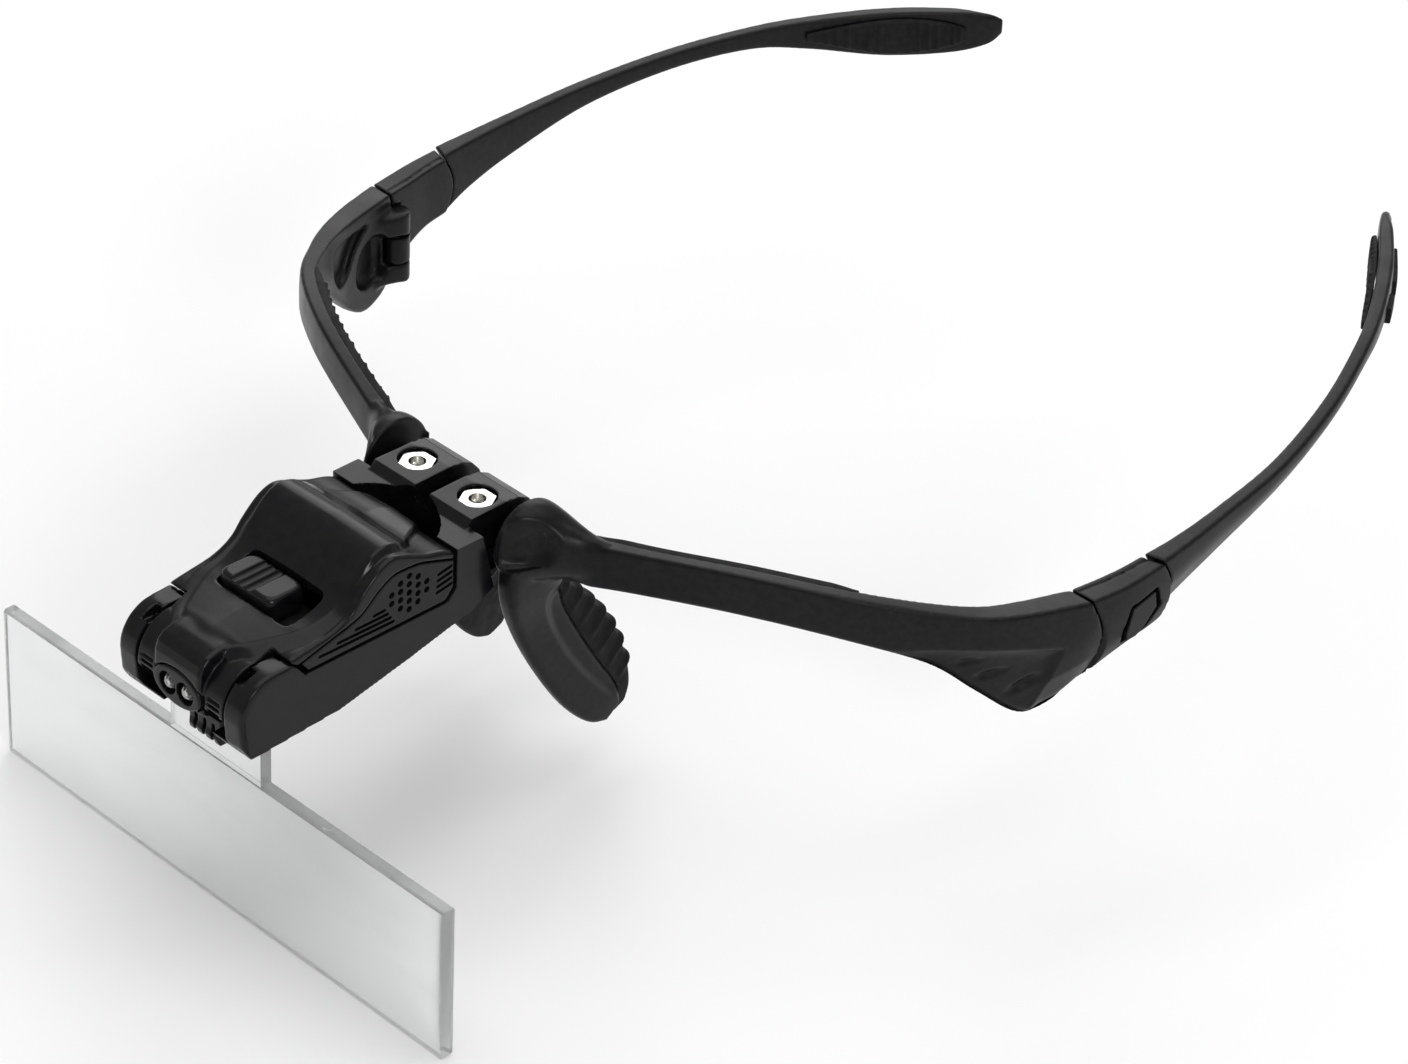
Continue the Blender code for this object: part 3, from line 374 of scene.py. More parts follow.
def pair(name, obj, look, body, slot, *nodes, sharp=35):
    """A left piece and its mirrored right twin. An @ in a name stands for the side."""
    made = []
    for side, shape in (("left", obj), ("right", mirrored(obj))):
        title, rides_on, *stands_for = [word.replace("@", side) for word in (name, body, *nodes)]
        made.append(piece(title, shape, look, rides_on, slot, *stands_for, sharp=sharp))
    return made


# -------------------- materials


def set_inputs(node, **values):
    """Sets a node's inputs, which are named with _ for each space."""
    for key, value in values.items():
        node.inputs[key.replace("_", " ")].default_value = value
    return node


def new_material(name, colour, roughness, **sockets):
    made = bpy.data.materials.new(name)
    made.use_nodes = True
    shader = made.node_tree.nodes["Principled BSDF"]
    set_inputs(shader, Base_Color=(*colour, 1), Roughness=roughness, **sockets)
    return made, made.node_tree, shader


def noise_node(tree, scale, detail=3.0, stretch=(1, 1, 1)):
    place = tree.nodes.new("ShaderNodeTexCoord")
    mapping = set_inputs(tree.nodes.new("ShaderNodeMapping"), Scale=stretch)
    tree.links.new(place.outputs["Object"], mapping.inputs["Vector"])
    noise = set_inputs(tree.nodes.new("ShaderNodeTexNoise"), Scale=scale, Detail=detail)
    tree.links.new(mapping.outputs["Vector"], noise.inputs["Vector"])
    return noise


def vary_roughness(tree, shader, noise, low, high):
    change = tree.nodes.new("ShaderNodeMapRange")
    set_inputs(change, From_Min=0.3, From_Max=0.7, To_Min=low, To_Max=high)
    tree.links.new(noise.outputs["Fac"], change.inputs["Value"])
    tree.links.new(change.outputs["Result"], shader.inputs["Roughness"])


def tint(tree, shader, noise, dark, light):
    colours = tree.nodes.new("ShaderNodeValToRGB")
    for stop, position, colour in zip(colours.color_ramp.elements, (0.35, 0.65), (dark, light)):
        stop.position = position
        stop.color = (*colour, 1)
    tree.links.new(noise.outputs["Fac"], colours.inputs["Fac"])
    tree.links.new(colours.outputs["Color"], shader.inputs["Base Color"])


def bumps(tree, shader, noise, strength, distance):
    bump = set_inputs(tree.nodes.new("ShaderNodeBump"), Strength=strength, Distance=distance)
    tree.links.new(noise.outputs["Fac"], bump.inputs["Height"])
    tree.links.new(bump.outputs["Normal"], shader.inputs["Normal"])


def finish(name, colour, roughness, polish, shade=None, grain=None, **sockets):
    """A surface: polish is a noise and two roughnesses, shade a noise scale and two colours, grain a
    noise scale, a strength and a height."""
    made, tree, shader = new_material(name, colour, roughness, **sockets)
    if shade:
        scale, dark, light = shade
        tint(tree, shader, noise_node(tree, scale), dark, light)
    noise, low, high = polish
    vary_roughness(tree, shader, noise_node(tree, *noise), low, high)
    if grain:
        scale, strength, distance = grain
        bumps(tree, shader, noise_node(tree, scale, 2), strength, distance)
    return made


# Black moulding with a fine spark-eroded texture, as the frame, links and temples have.
SATIN = finish(
    "satin_black_plastic", (0.004, 0.004, 0.005), 0.34, ((160,), 0.30, 0.40),
    shade=(900, (0.003, 0.003, 0.004), (0.007, 0.007, 0.008)), grain=(2600, 0.22, 0.00006),
    Specular_IOR_Level=0.18,
)
# Black moulding from a smoother tool, as the lamp and its carrier have.
GLOSS = finish(
    "semi_gloss_black_plastic", (0.003, 0.003, 0.004), 0.20, ((220,), 0.17, 0.26),
    shade=(500, (0.003, 0.003, 0.004), (0.006, 0.006, 0.007)), grain=(2200, 0.12, 0.00004),
    Specular_IOR_Level=0.21,
)
RUBBER = finish(
    "matt_black_rubber", (0.006, 0.006, 0.007), 0.62, ((300,), 0.55, 0.70),
    shade=(700, (0.004, 0.004, 0.005), (0.009, 0.009, 0.010)), grain=(3000, 0.30, 0.00008),
    Specular_IOR_Level=0.16,
)
# Clear lens plastic with a little haze and faint wipe marks.
ACRYLIC = finish(
    "hazy_clear_acrylic", (0.97, 0.98, 0.98), 0.10, ((60, 4, (1, 1, 5)), 0.07, 0.22),
    IOR=1.49, Transmission_Weight=0.88,
)
DOME = finish(
    "clear_epoxy", (0.97, 0.98, 1.0), 0.03, ((400,), 0.02, 0.06), IOR=1.5, Transmission_Weight=1.0
)
NICKEL = finish(
    "bright_nickel_plate", (0.80, 0.79, 0.76), 0.18, ((900, 4, (1, 1, 6)), 0.12, 0.30),
    shade=(500, (0.70, 0.69, 0.66), (0.86, 0.85, 0.82)), Metallic=1.0,
)
STEEL = finish(
    "brushed_cell_steel", (0.66, 0.66, 0.65), 0.28, ((1200, 3, (1, 8, 8)), 0.20, 0.38),
    shade=(350, (0.58, 0.58, 0.57), (0.72, 0.72, 0.71)), Metallic=1.0,
)
BOARD = finish(
    "green_solder_mask", (0.02, 0.10, 0.05), 0.40, ((500,), 0.32, 0.48),
    shade=(260, (0.012, 0.07, 0.035), (0.03, 0.13, 0.07)),
)


# -------------------- strips: bar, link, temple


# Rows of a strip's outer top edge: x, y, top, height, thickness. BAR is the brow bar and its end piece.
BAR = [
    (17.0, 53.4, 43.6, 9.6, 6.0),
    (22.5, 55.6, 42.2, 8.4, 4.0),
    (33.0, 58.7, 43.6, 7.7, 3.0),
    (50.5, 65.1, 45.7, 7.6, 3.0),
    (65.0, 74.0, 44.9, 8.1, 3.1),
    (74.5, 84.3, 42.2, 10.0, 3.6),
    (80.0, 91.8, 40.5, 15.4, 4.4),
    (83.4, 99.0, 39.8, 20.6, 5.0),
    (85.4, 105.0, 39.4, 20.0, 5.2),
    (86.8, 109.7, 39.1, 16.6, 5.2),
    (87.4, 114.6, 39.2, 14.3, 5.2),
]
LINK = [
    (86.6, 109.0, 39.1, 16.2, 5.2),
    (87.5, 115.0, 39.2, 13.4, 5.2),
    (87.9, 120.0, 39.5, 12.0, 4.9),
    (87.9, 125.6, 39.9, 11.6, 4.5),
    (87.8, 130.0, 40.2, 10.4, 4.0),
]
TEMPLE = [
    (88.0, 124.4, 40.4, 12.7, 4.3),
    (87.6, 132.0, 40.9, 9.8, 3.6),
    (86.7, 142.5, 41.8, 7.4, 3.0),
    (84.9, 159.0, 43.3, 4.6, 2.8),
    (80.5, 176.8, 45.4, 3.6, 2.8),
    (74.6, 192.0, 47.1, 4.0, 2.8),
    (69.3, 202.6, 47.9, 6.2, 2.9),
    (61.5, 214.7, 48.6, 9.2, 3.0),
    (53.5, 224.6, 48.5, 8.8, 2.8),
    (49.0, 229.8, 47.6, 6.4, 2.4),
    (47.2, 232.2, 46.2, 3.0, 1.6),
]


def slice_at(row, ahead, outline):
    """An outline of (inward, down) points, set across a strip at one of its rows."""
    inward = np.array([-ahead[1], ahead[0], 0])
    inward /= np.linalg.norm(inward)
    return [row[:3] + inward * u - np.array([0, 0, v]) for u, v in outline]


def sweep(stations, section, per_span=6):
    """A strip with section(height, thickness, y) as its outline of (inward, down) points."""
    rows = spread(stations, per_span)
    rings = []
    for i, row in enumerate(rows):
        ahead = rows[min(i + 1, len(rows) - 1)] - rows[max(i - 1, 0)]
        rings.append(slice_at(row, ahead, section(row[3], row[4], row[1])))
    return loft(rings)


def bar_section(height, thick, y):
    """The bar leans in below, more so where it widens into the end piece."""
    wing = float(ramp(y, 80, 100))
    lean = 1.6 * wing
    corners = [(0.25, 0), (0, height * 0.4), (lean, height), (thick, height), (thick, 0)]
    return filleted(corners, [0.45, 2.5, 1.0 + wing, 1.0, 0.3 + 0.3 * wing])


def link_section(height, thick, y):
    """The link, with the fine groove that runs along its top."""
    groove = thick - 1.3
    lean = 1.6 - 0.8 * float(ramp(y, 110, 122))
    corners = [(0.3, 0), (0, height * 0.35), (0.2, height * 0.75), (lean, height), (thick - 0.3, height)]
    corners += [(thick, height * 0.5), (thick, 0.0)]
    corners += [(groove + 0.28, 0), (groove, 0.45), (groove - 0.28, 0)]
    return filleted(corners, [0.5, 2.0, 2.0, 0.9, 0.9, 3.0, 0.4, 0.05, 0.05, 0.05])


def temple_section(height, thick, y):
    """The temple, chamfered where it starts and rounder towards its tip."""
    chamfer = 1 - float(ramp(y, 128, 172))
    tip = float(ramp(y, 224, 232))
    lean = (0.25 + 0.30 * chamfer) * thick
    corners = [(0.3 + 0.5 * tip, 0), (0, height * 0.42), (lean, height), (thick - 0.3, height)]
    corners += [(thick, height * 0.5), (thick - 0.3 * tip, 0)]
    return filleted(corners, [0.5 + 0.6 * tip, 2.2, 0.9, 0.8, 3.0, 0.5 + 0.6 * tip])


def seam_one(x, z):
    """How far back the joint line between the frame and the link runs, bowed from top to bottom."""
    top, height = 39.3, 21.5
    bow = 3.4 * np.sin(np.pi * np.clip((top - z) / height, 0, 1)) - 0.15
    return 109.85 + bow * np.clip((x - HINGE_X) / 6.6, 0, 1.1)


def seam_two(x, z):
    """The joint line between the link and the temple."""
    top, height = 40.3, 13.6
    bow = 2.9 * np.sin(np.pi * np.clip((top - z) / height, 0, 1))
    return LINK_END - 0.2 + bow * 0.9 + (x - 87.9) * 0.28


def beyond(seam, shift, far, high_z=46.0):
    """A cutter that takes everything between a seam and a far place behind it or in front of it."""
    low_x, high_x = 79.0, 92.0
    rings = []
    for z in np.linspace(12.0, high_z, 25):
        near_edge = [(x, float(seam(x, z)) + shift, z) for x in np.linspace(low_x, high_x, 7)]
        rings.append([*near_edge, (high_x, far, z), (low_x, far, z)])
    return loft(rings)


# -------------------- frame


# Down the middle of a limb: x, y, z, width from front to back, thickness.
NOSE_ARM = [
    (17.4, 52.6, 40.0, 12.0, 4.4),
    (17.3, 52.2, 33.5, 12.4, 4.0),
    (16.9, 53.8, 26.0, 10.6, 3.4),
    (17.3, 57.8, 17.5, 10.4, 3.0),
    (17.8, 63.0, 8.8, 10.0, 2.8),
    (18.2, 67.6, 2.9, 8.4, 2.5),
    (18.5, 69.8, 0.2, 4.4, 1.8),
]


def limb(stations, corner, per_span=5):
    """A flat limb that hangs down, wide from front to back and thin across."""
    rows = spread(stations, per_span)
    rings = []
    for i, row in enumerate(rows):
        ahead = rows[min(i + 1, len(rows) - 1)][:3] - rows[max(i - 1, 0)][:3]
        ahead /= np.linalg.norm(ahead)
        side = np.array([1.0, 0, 0])
        along = np.cross(side, ahead)
        along /= np.linalg.norm(along)
        wide, thick = row[3] / 2, row[4] / 2
        outline = filleted([(wide, thick), (-wide, thick), (-wide, -thick), (wide, -thick)], corner)
        rings.append([row[:3] + along * u + side * v for u, v in outline])
    return loft(rings)


def elbow():
    """The rounded shoulder that carries the barrel and runs out into the bar."""
    rows = [
        (15.3, 52.2, 41.2, 6.6, 6.6),
        (15.6, 52.2, 41.2, 7.0, 7.0),
        (17.3, 52.3, 41.2, 7.0, 7.0),
        (19.2, 53.2, 41.0, 6.3, 6.3),
        (21.6, 55.2, 40.4, 4.8, 5.0),
        (24.6, 57.4, 39.7, 2.9, 4.2),
        (28.0, 58.9, 39.4, 1.6, 3.8),
    ]
    rings = []
    for x, y, z, half_y, half_z in spread(rows, 4):
        rings.append([(x, u, v) for u, v in oval((y, z), half_y, half_z, 48)])
    return loft(rings)


def lug(low, high):
    """One of the frame's two hinge lugs, which run out into the end piece."""
    outline = arc(HINGE, LUG_ROUND, -20, 200, 20)
    outline += [(HINGE_X + x, HINGE_Y - y) for x, y in ((0.6, 9.5), (2.2, 9.0), (3.6, 0.8))]
    return upright(outline, low, high)


def inner_face(y):
    """Where the inner face of the bar and end piece is, at a distance back."""
    rows = spread(BAR, 6)
    ahead = np.gradient(rows[:, :2], axis=0)
    ahead /= np.linalg.norm(ahead, axis=1)[:, None]
    face = rows[:, :2] + np.column_stack([-ahead[:, 1], ahead[:, 0]]) * rows[:, 4:5]
    return float(np.interp(y, face[:, 1], face[:, 0]))


def teardrop(points, depth):
    """A recess in the inner face of the end piece, from its (y, z) outline."""
    outline = filleted(points, 2.2, 6)
    middle = np.mean(outline, axis=0)
    rings = []
    for inward, size in ((-4.0, 1.0), (0.0, 1.0), (depth * 0.7, 0.92), (depth, 0.7)):
        rings.append([(inner_face(y) + inward, y, z) for y, z in scaled(outline, middle, size)])
    return loft(rings)


def scoop_depth(y, z):
    """How deep the hollow under the ledge of the end piece is, at a place on its outer face."""
    ledge = 35.6 - 0.055 * np.clip(y - 78, 0, 40) - 0.0055 * np.clip(y - 84, 0, 40) ** 2
    rear = 101.2 + 0.33 * (z - 19.0) - 0.010 * np.clip(z - 27, 0, 20) ** 2
    under = np.clip(ledge - z, 0, None)
    before = np.clip(rear - y, 0, None)
    inside = 1 - np.exp(-np.minimum(under, before * 0.9) / 1.3)
    return 1.15 * inside * ramp(y, 77, 86)


def dent(y, z, centre, length, width, turn):
    """1 in the middle of a slanted oval, falling to 0 at its rim."""
    c, s = math.cos(turn), math.sin(turn)
    a = (y - centre[0]) * c + (z - centre[1]) * s
    b = -(y - centre[0]) * s + (z - centre[1]) * c
    return 1 - ramp(np.sqrt((a / length) ** 2 + (b / width) ** 2), 0.0, 1.0)


def press_wing(co, n):
    """The hollow, its three dents and the lower facet of the end piece's outer face."""
    y, z = co[:, 1], co[:, 2]
    outer = ramp(n[:, 0], 0.15, 0.5) * ramp(co[:, 0], 62, 66) * ramp(y, 76, 79) * (1 - ramp(y, 112, 113))
    depth = scoop_depth(y, z)
    depth += 0.5 * dent(y, z, (90.3, 31.9), 2.8, 1.0, 0.14)
    depth += 0.65 * dent(y, z, (93.9, 28.7), 3.4, 1.2, 0.24)
    depth += 0.8 * dent(y, z, (99.7, 25.4), 4.0, 1.5, 0.48)
    facet = np.clip(24.5 + (y - 100) * 0.30 - z, 0, 6) * ramp(y, 99, 104)
    depth += 0.22 * facet
    return (outer * depth)[:, None] * np.array([-0.94, 0.30, 0.0])


def press_elbow(co, n):
    """The dish in the outer side of the shoulder."""
    d = np.linalg.norm((co - np.array([19.2, 47.4, 42.4])) / np.array([1.3, 1.3, 0.95]), axis=1)
    lip = 37.7 + 0.16 * (co[:, 0] - 16.0)
    depth = 2.7 * (1 - ramp(d, 1.6, 5.8)) * ramp(co[:, 2] - lip, 0.0, 0.9) * ramp(co[:, 0], 15.7, 16.6)
    away = np.array([-0.57, 0.60, -0.56])
    facing_out = ramp(-(n @ away), 0.0, 0.5)
    return away * (depth * facing_out)[:, None]


def press_arm(co, n):
    """A shallow hollow along the outer side of the nose arm, round at its top."""
    outer = ramp(n[:, 0], 0.3, 0.7)
    z = co[:, 2]
    down = np.clip(31 - z, 0, 40)
    behind_edge = co[:, 1] - (53.4 + 0.0136 * down**2 + 0.2 * down)
    under_arch = 31.6 - z
    inside = -2 * np.logaddexp(-behind_edge / 2, -under_arch / 2)
    depth = 0.8 * ramp(inside, -0.6, 1.6) * ramp(z, 0.5, 6.0)
    depth = outer * depth * ramp(co[:, 0], 15, 17) * (1 - ramp(co[:, 0], 24, 26))
    return depth[:, None] * np.array([-1.0, 0.0, 0.0])


# The two recesses in the end piece's inner face: y, z.
UPPER_RECESS = [(103.6, 36.9), (97.6, 37.4), (90.2, 38.0), (89.6, 33.6), (92.6, 28.6), (95.6, 29.6)]
UPPER_RECESS += [(98.4, 34.0)]
LOWER_RECESS = [(107.2, 33.4), (101.0, 33.0), (98.8, 30.0), (98.6, 25.8), (101.2, 23.4), (106.8, 24.2)]
# Inner corners that run into each other as large fillets: a place, a radius, rounds of smoothing.
FILLETS = [
    ((24.5, 57.0, 39.6), 5.5, 40),
    ((19.8, 57.2, 34.0), 6.0, 60),
    ((19.0, 47.5, 34.6), 3.6, 25),
    ((79.2, 107.6, 34.0), 4.6, 30),
    ((79.2, 107.6, 24.2), 4.0, 20),
]


def front_frame():
    bar = carved([sweep(BAR, bar_section)], [beyond(seam_one, -0.15, 130.0)])
    barrel = rod((-1, TILT_Y, TILT_Z), (17.4, TILT_Y, TILT_Z), BARREL_ROUND)
    shoulder = elbow()
    nose_arm = limb(NOSE_ARM, 1.3)
    recesses = [teardrop(UPPER_RECESS, 1.6), teardrop(LOWER_RECESS, 1.8)]
    lugs = [lug(KNUCKLE_HIGH, 36.2), lug(22.2, KNUCKLE_LOW)]
    room = peg(HINGE, KNUCKLE_LOW, KNUCKLE_HIGH, 2.75)
    pin = peg(HINGE, 22.5, 34.8, 1.0)
    side = carved([bar, barrel, shoulder, nose_arm, *lugs], [room, pin, *recesses])
    whole = moulded(both(side), [], 0.28, 4)

    def fold(co):
        """Factors that carry the points of the right side over to the left."""
        return np.where(co[:, 0] < 0, -1.0, 1.0)[:, None] * [1, 0, 0] + [0, 1, 1]

    for centre, radius, rounds in FILLETS:
        weight = near(centre, radius)
        melt(whole, lambda co: weight(co * fold(co)), rounds)
    for move in (press_elbow, press_arm, press_wing):
        press(whole, lambda co, n: move(co * fold(co), n * fold(co)) * fold(co))
    melt(whole, lambda co: ramp(np.abs(co[:, 0]), 60, 66) * 0.6, 3)
    thinned(whole, 0.6)
    piece("brow_frame", whole, SATIN, "frame", "black_plastic", "front_frame")


def brow_pad():
    """A soft strip behind the bar, with sawteeth along its rear face."""
    rows = spread(BAR, 30)
    rows = [row for row in rows if 24.5 < row[0] < 67.5]
    rings = []
    travelled, last = 0.0, rows[0]
    whole = sum(float(np.linalg.norm(b[:2] - a[:2])) for a, b in zip(rows, rows[1:]))
    for i, row in enumerate(rows[1:-1], 1):
        travelled += float(np.linalg.norm(row[:2] - last[:2]))
        last = row
        tooth = (travelled / TOOTH_PITCH) % 1.0
        thin_end = float(ramp(min(travelled, whole - travelled), -0.5, 6.0))
        thick = 0.25 + (0.85 + 0.8 * tooth) * thin_end
        back, height = row[4], row[3]
        lip = back + 0.2 + 0.8 * thin_end
        corners = [(back - 0.5, 0.0), (back - 0.5, height - 0.6), (back + thick, height - 0.8)]
        corners += [(back + thick, 1.1), (lip, 0.8), (lip, 0.0)]
        rings.append(slice_at(row, rows[i + 1] - rows[i - 1], filleted(corners, 0.2, 2)))
    return pair("brow_cushion_@", loft(rings), RUBBER, "frame", "black_rubber", "brow_pad_@", sharp=50)


NOSE_PAD = [
    (13.2, 57.6, 28.0, 4.4, 2.6),
    (12.9, 59.6, 25.0, 8.6, 3.8),
    (13.0, 63.2, 18.6, 12.4, 4.4),
    (13.5, 67.4, 11.4, 13.8, 4.4),
    (14.2, 70.8, 4.6, 12.4, 3.8),
    (14.8, 73.0, -0.2, 9.0, 3.0),
    (15.0, 74.2, -2.8, 4.4, 2.0),
]


def nose_pad():
    """An oval pad with slanted ribs that end as bumps on its rear edge."""
    pad = moulded([limb(NOSE_PAD, 1.6)], [], 0.25, 3)
    arm = limb([(x, y, z, w + 0.6, t + 0.6) for x, y, z, w, t in NOSE_ARM], 1.3)
    down = np.array([0.0, 0.50, -0.87])
    back = np.array([0.0, 0.87, 0.50])

    def ribs(co, n):
        rel = co - np.array([13.3, 60.0, 26.0])
        along = rel @ down + 0.35 * (rel @ back)
        phase = (along / RIB_PITCH) % 1.0
        crest = np.exp(-(((phase - 0.5) / 0.17) ** 2))
        rear = ramp(rel @ back, -1.0, 5.5)
        rise = 0.75 * crest * rear * ramp(along, 0.5, 3.0) * (1 - ramp(along, 27, 30))
        return n * (rise - 0.25 * rear)[:, None]

    press(pad, ribs)
    pad = carved([pad], [arm])
    return pair("nose_cushion_@", pad, RUBBER, "frame", "black_rubber", "nose_pad_@", sharp=60)


# -------------------- hinge links and temples


# The window in the link, the release tab that shows in it, and the room behind the tab: y, z.
WINDOW = [(116.8, 28.3), (116.8, 30.2), (118.2, 34.9), (124.2, 36.3), (125.7, 32.2), (122.6, 29.0)]
WINDOW += [(120.0, 28.3)]
TAB = [(117.3, 28.8), (117.3, 30.4), (118.5, 34.4), (123.6, 35.6), (124.2, 32.6), (121.4, 29.8)]
TAB += [(119.6, 28.8)]
TAB_ROOM = [(117.2, 28.6), (117.2, 32.2), (123.8, 32.2), (121.9, 29.6), (120.4, 28.6)]


def hinge_link():
    strip = sweep(LINK, link_section)
    strip = carved([strip], [beyond(seam_one, 0.15, 100.0), beyond(seam_two, -0.15, 140.0)])
    low, high = KNUCKLE_LOW + GAP, KNUCKLE_HIGH - GAP
    outline = arc(HINGE, LUG_ROUND, 90, 270, 20)
    outline += [(HINGE_X + x, HINGE_Y + y) for x, y in ((1.0, -2.1), (2.6, 0), (3.2, 3.4))]
    knuckle = upright(outline, low, high)
    ends = [peg(HINGE, high, 36.6, 2.7), peg(HINGE, 18, low, 2.7)]
    pin = peg(HINGE, 15, 45, 1.2)
    socket = block((84.2, 118.6, 33.0), (86.2, 132.0, 37.6))
    window = across(WINDOW, 85.9, 92)
    cuts = [*ends, pin, socket, window, across(TAB_ROOM, 84.9, 87.0)]
    link = thinned(moulded([strip, knuckle], cuts, 0.2, 3), 0.45)
    pair("hinge_link_body_@", link, SATIN, "link_@", "black_plastic", "hinge_link_@")


def latch_button():
    face = across(TAB, 87.15, 87.95)
    body = block((86.5, 118.0, 29.6), (87.6, 121.2, 31.9))
    button = thinned(moulded([face, body], [], 0.14, 3), 0.5)
    pair("release_tab_@", button, SATIN, "button_@", "black_plastic", "latch_button_@")


def temple():
    strip = carved([sweep(TEMPLE, temple_section, 8)], [beyond(seam_two, 0.2, 110.0, 50.0)])
    plug = block((84.5, 119.2, 33.3), (85.9, 130.0, 37.3), 0.2)
    arm = thinned(moulded([strip, plug], [], 0.26, 4), 0.4)
    pair("temple_arm_@", arm, SATIN, "arm_@", "black_plastic", "temple_@")


def temple_pad():
    """An oval pad on the inner face of the tip, ribbed across, with two plugs through to the outer face."""
    rows = spread(TEMPLE, 40)
    ahead = np.gradient(rows[:, :3], axis=0)
    keep = [i for i, row in enumerate(rows) if 201.5 < row[1] < 227.0]
    first, last = keep[0], keep[-1]
    rings = []
    for i in keep:
        row = rows[i]
        t = (i - first) / (last - first)
        half = (row[3] - 1.8) / 2 * math.sin(math.pi * (0.06 + 0.88 * t)) ** 0.6
        crest = 0.5 + 0.5 * math.cos(2 * math.pi * t * 17)
        group = float(ramp(abs(t - 0.5), 0.05, 0.09)) * (1 - float(ramp(abs(t - 0.5), 0.42, 0.47)))
        thick = 0.75 + 0.35 * math.sin(math.pi * t) + 0.45 * (crest - 0.5) * group
        middle = row[3] / 2
        start = row[4] + 0.15
        corners = [(start, middle - half), (start, middle + half)]
        corners += [(start + thick, middle + half * 0.86), (start + thick, middle - half * 0.86)]
        rings.append(slice_at(row, ahead[i], filleted(corners, 0.35, 3)))
    plate = loft(rings)
    plugs = []
    for start, end in ((206.0, 211.0), (214.5, 223.5)):
        plug = []
        for i in [i for i, row in enumerate(rows) if start < row[1] < end]:
            low, high = rows[i][3] * 0.5 - 1.5, rows[i][3] * 0.5 + 1.5
            outline = filleted([(-0.7, low), (-0.7, high), (0.6, high), (0.6, low)], 0.3, 2)
            plug.append(slice_at(rows[i], ahead[i], outline))
        plugs.append(loft(plug))
    pad = together(plate, *plugs)
    return pair("temple_cushion_@", pad, RUBBER, "arm_@", "black_rubber", "temple_pad_@", sharp=50)


# -------------------- carrier


def clamp_bore():
    return rod((-20, TILT_Y, TILT_Z), (20, TILT_Y, TILT_Z), CLAMP_ROUND, steps=64)


def carrier():
    """The carrier: two ears in front, a tray, and a rear block with the upper halves of two clamps."""
    outline = [(-4.9, 24.4), (13.5, 25.4), (28.0, 28.4), (40.9, 31.4), (46.1, 34.0), (43.6, 44.8)]
    outline += [(37.9, 44.8), (37.9, 37.6), (36.0, 35.5), (6.2, 35.5), (4.6, 37.6), (3.6, 38.4)]
    outline += arc((0, PIVOT_Z), 7.0, 90, 180, 16)
    outline += [(-6.6, 27.0)]
    body = across(outline, -15.0, 15.0)
    between_ears = block((-10.7, -12, 25.5), (10.7, 5.4, 50))
    tray = across([(3.0, 26.2), (13.6, 27.0), (28.0, 30.0), (36.4, 31.8), (36.4, 50), (3.0, 50)], -12.6, 12.6)
    recess = turned([(0, 20), (11.4, 20), (11.4, 0), (0, 0)], (0, 32.5, 33.0), (0, 0, 1), 72)
    trunnions = rod((-12.3, 0, PIVOT_Z), (12.3, 0, PIVOT_Z), 2.4)
    arm_outline = [(42.0, 38.0), (42.6, 44.6), (44.0, 46.2), (51.4, 46.3), (54.4, 45.9), (56.6, 44.8)]
    arm_outline += [(58.1, 43.0), (58.8, 40.8), (58.8, 39.1), (46.2, 39.1), (45.0, 36.0)]
    arms = both(across(arm_outline, CLAMP_INNER, CLAMP_OUTER))
    nose = block((-6.2, -12, 20), (6.2, -0.6, 30))
    cuts = [between_ears, tray, recess, trunnions, clamp_bore(), nose]
    cuts += both(block((10.0, -4.4, 36.4), (12.2, -1.2, 45)))
    for x in (CLAMP_X, -CLAMP_X):
        cuts += [peg((x, CLAMP_Y), 43.6, 50, 3.3, 48), peg((x, CLAMP_Y), 30, 50, SCREW_HOLE)]
    holder = moulded([body, *arms], cuts, 0.2, 2)

    def outer_ears(co):
        sides = ramp(np.abs(co[:, 0]), 12.6, 13.6)
        return sides * (1 - ramp(co[:, 1], 1.0, 6.0)) * ramp(co[:, 2], 25.5, 27.5)

    melt(holder, outer_ears, 40)
    thinned(holder, 0.4)
    piece("carrier_body", holder, GLOSS, "carrier", "gloss_black", "lamp_carrier")


SHOE = [(46.0, 36.9), (46.0, 38.65), (58.6, 38.65), (58.5, 36.8), (57.4, 35.2), (55.6, 34.3), (47.0, 34.2)]


def clamp_shoe():
    """The lower half of a clamp, cut clear of the carrier's rear block."""
    shoe = across(SHOE, CLAMP_INNER, CLAMP_OUTER)
    rear = across([(30, 25), (46.8, 33.4), (46.5, 41.6), (43.9, 46), (30, 46)], 0, 16)
    hole = peg(CLAMP_SCREW, 30, 50, SCREW_HOLE)
    shoe = moulded([shoe], [clamp_bore(), rear, hole], 0.2, 3)
    pair("clamp_cap_@", thinned(shoe, 0.45), GLOSS, "carrier", "gloss_black", "clamp_shoe_@")


def screw(place, low, high, head, shaft, head_height):
    """A cross-head screw that goes in from below, threaded in grooves. head and shaft are radii."""
    x, y = place
    z = high - low - 0.3
    profile = [(0, high - low), (shaft * 0.8, high - low), (shaft, z)]
    while z > head_height + 0.6:
        profile += [(shaft, z), (shaft * 0.86, z - 0.2)]
        z -= 0.4
    profile += [(shaft, head_height), (head - 0.15, head_height), (head, head_height - 0.15)]
    profile += [(head, min(0.35, head_height * 0.5)), (head * 0.8, 0), (0, 0)]
    body = turned(profile, (x, y, low), (0, 0, 1), 32)
    reach = head * 0.55
    cross = []
    for a, b in ((reach, reach * 0.22), (reach * 0.22, reach)):
        cross.append(block((x - a, y - b, low - 1), (x + a, y + b, low + reach * 0.5)))
    return carved([body], cross)


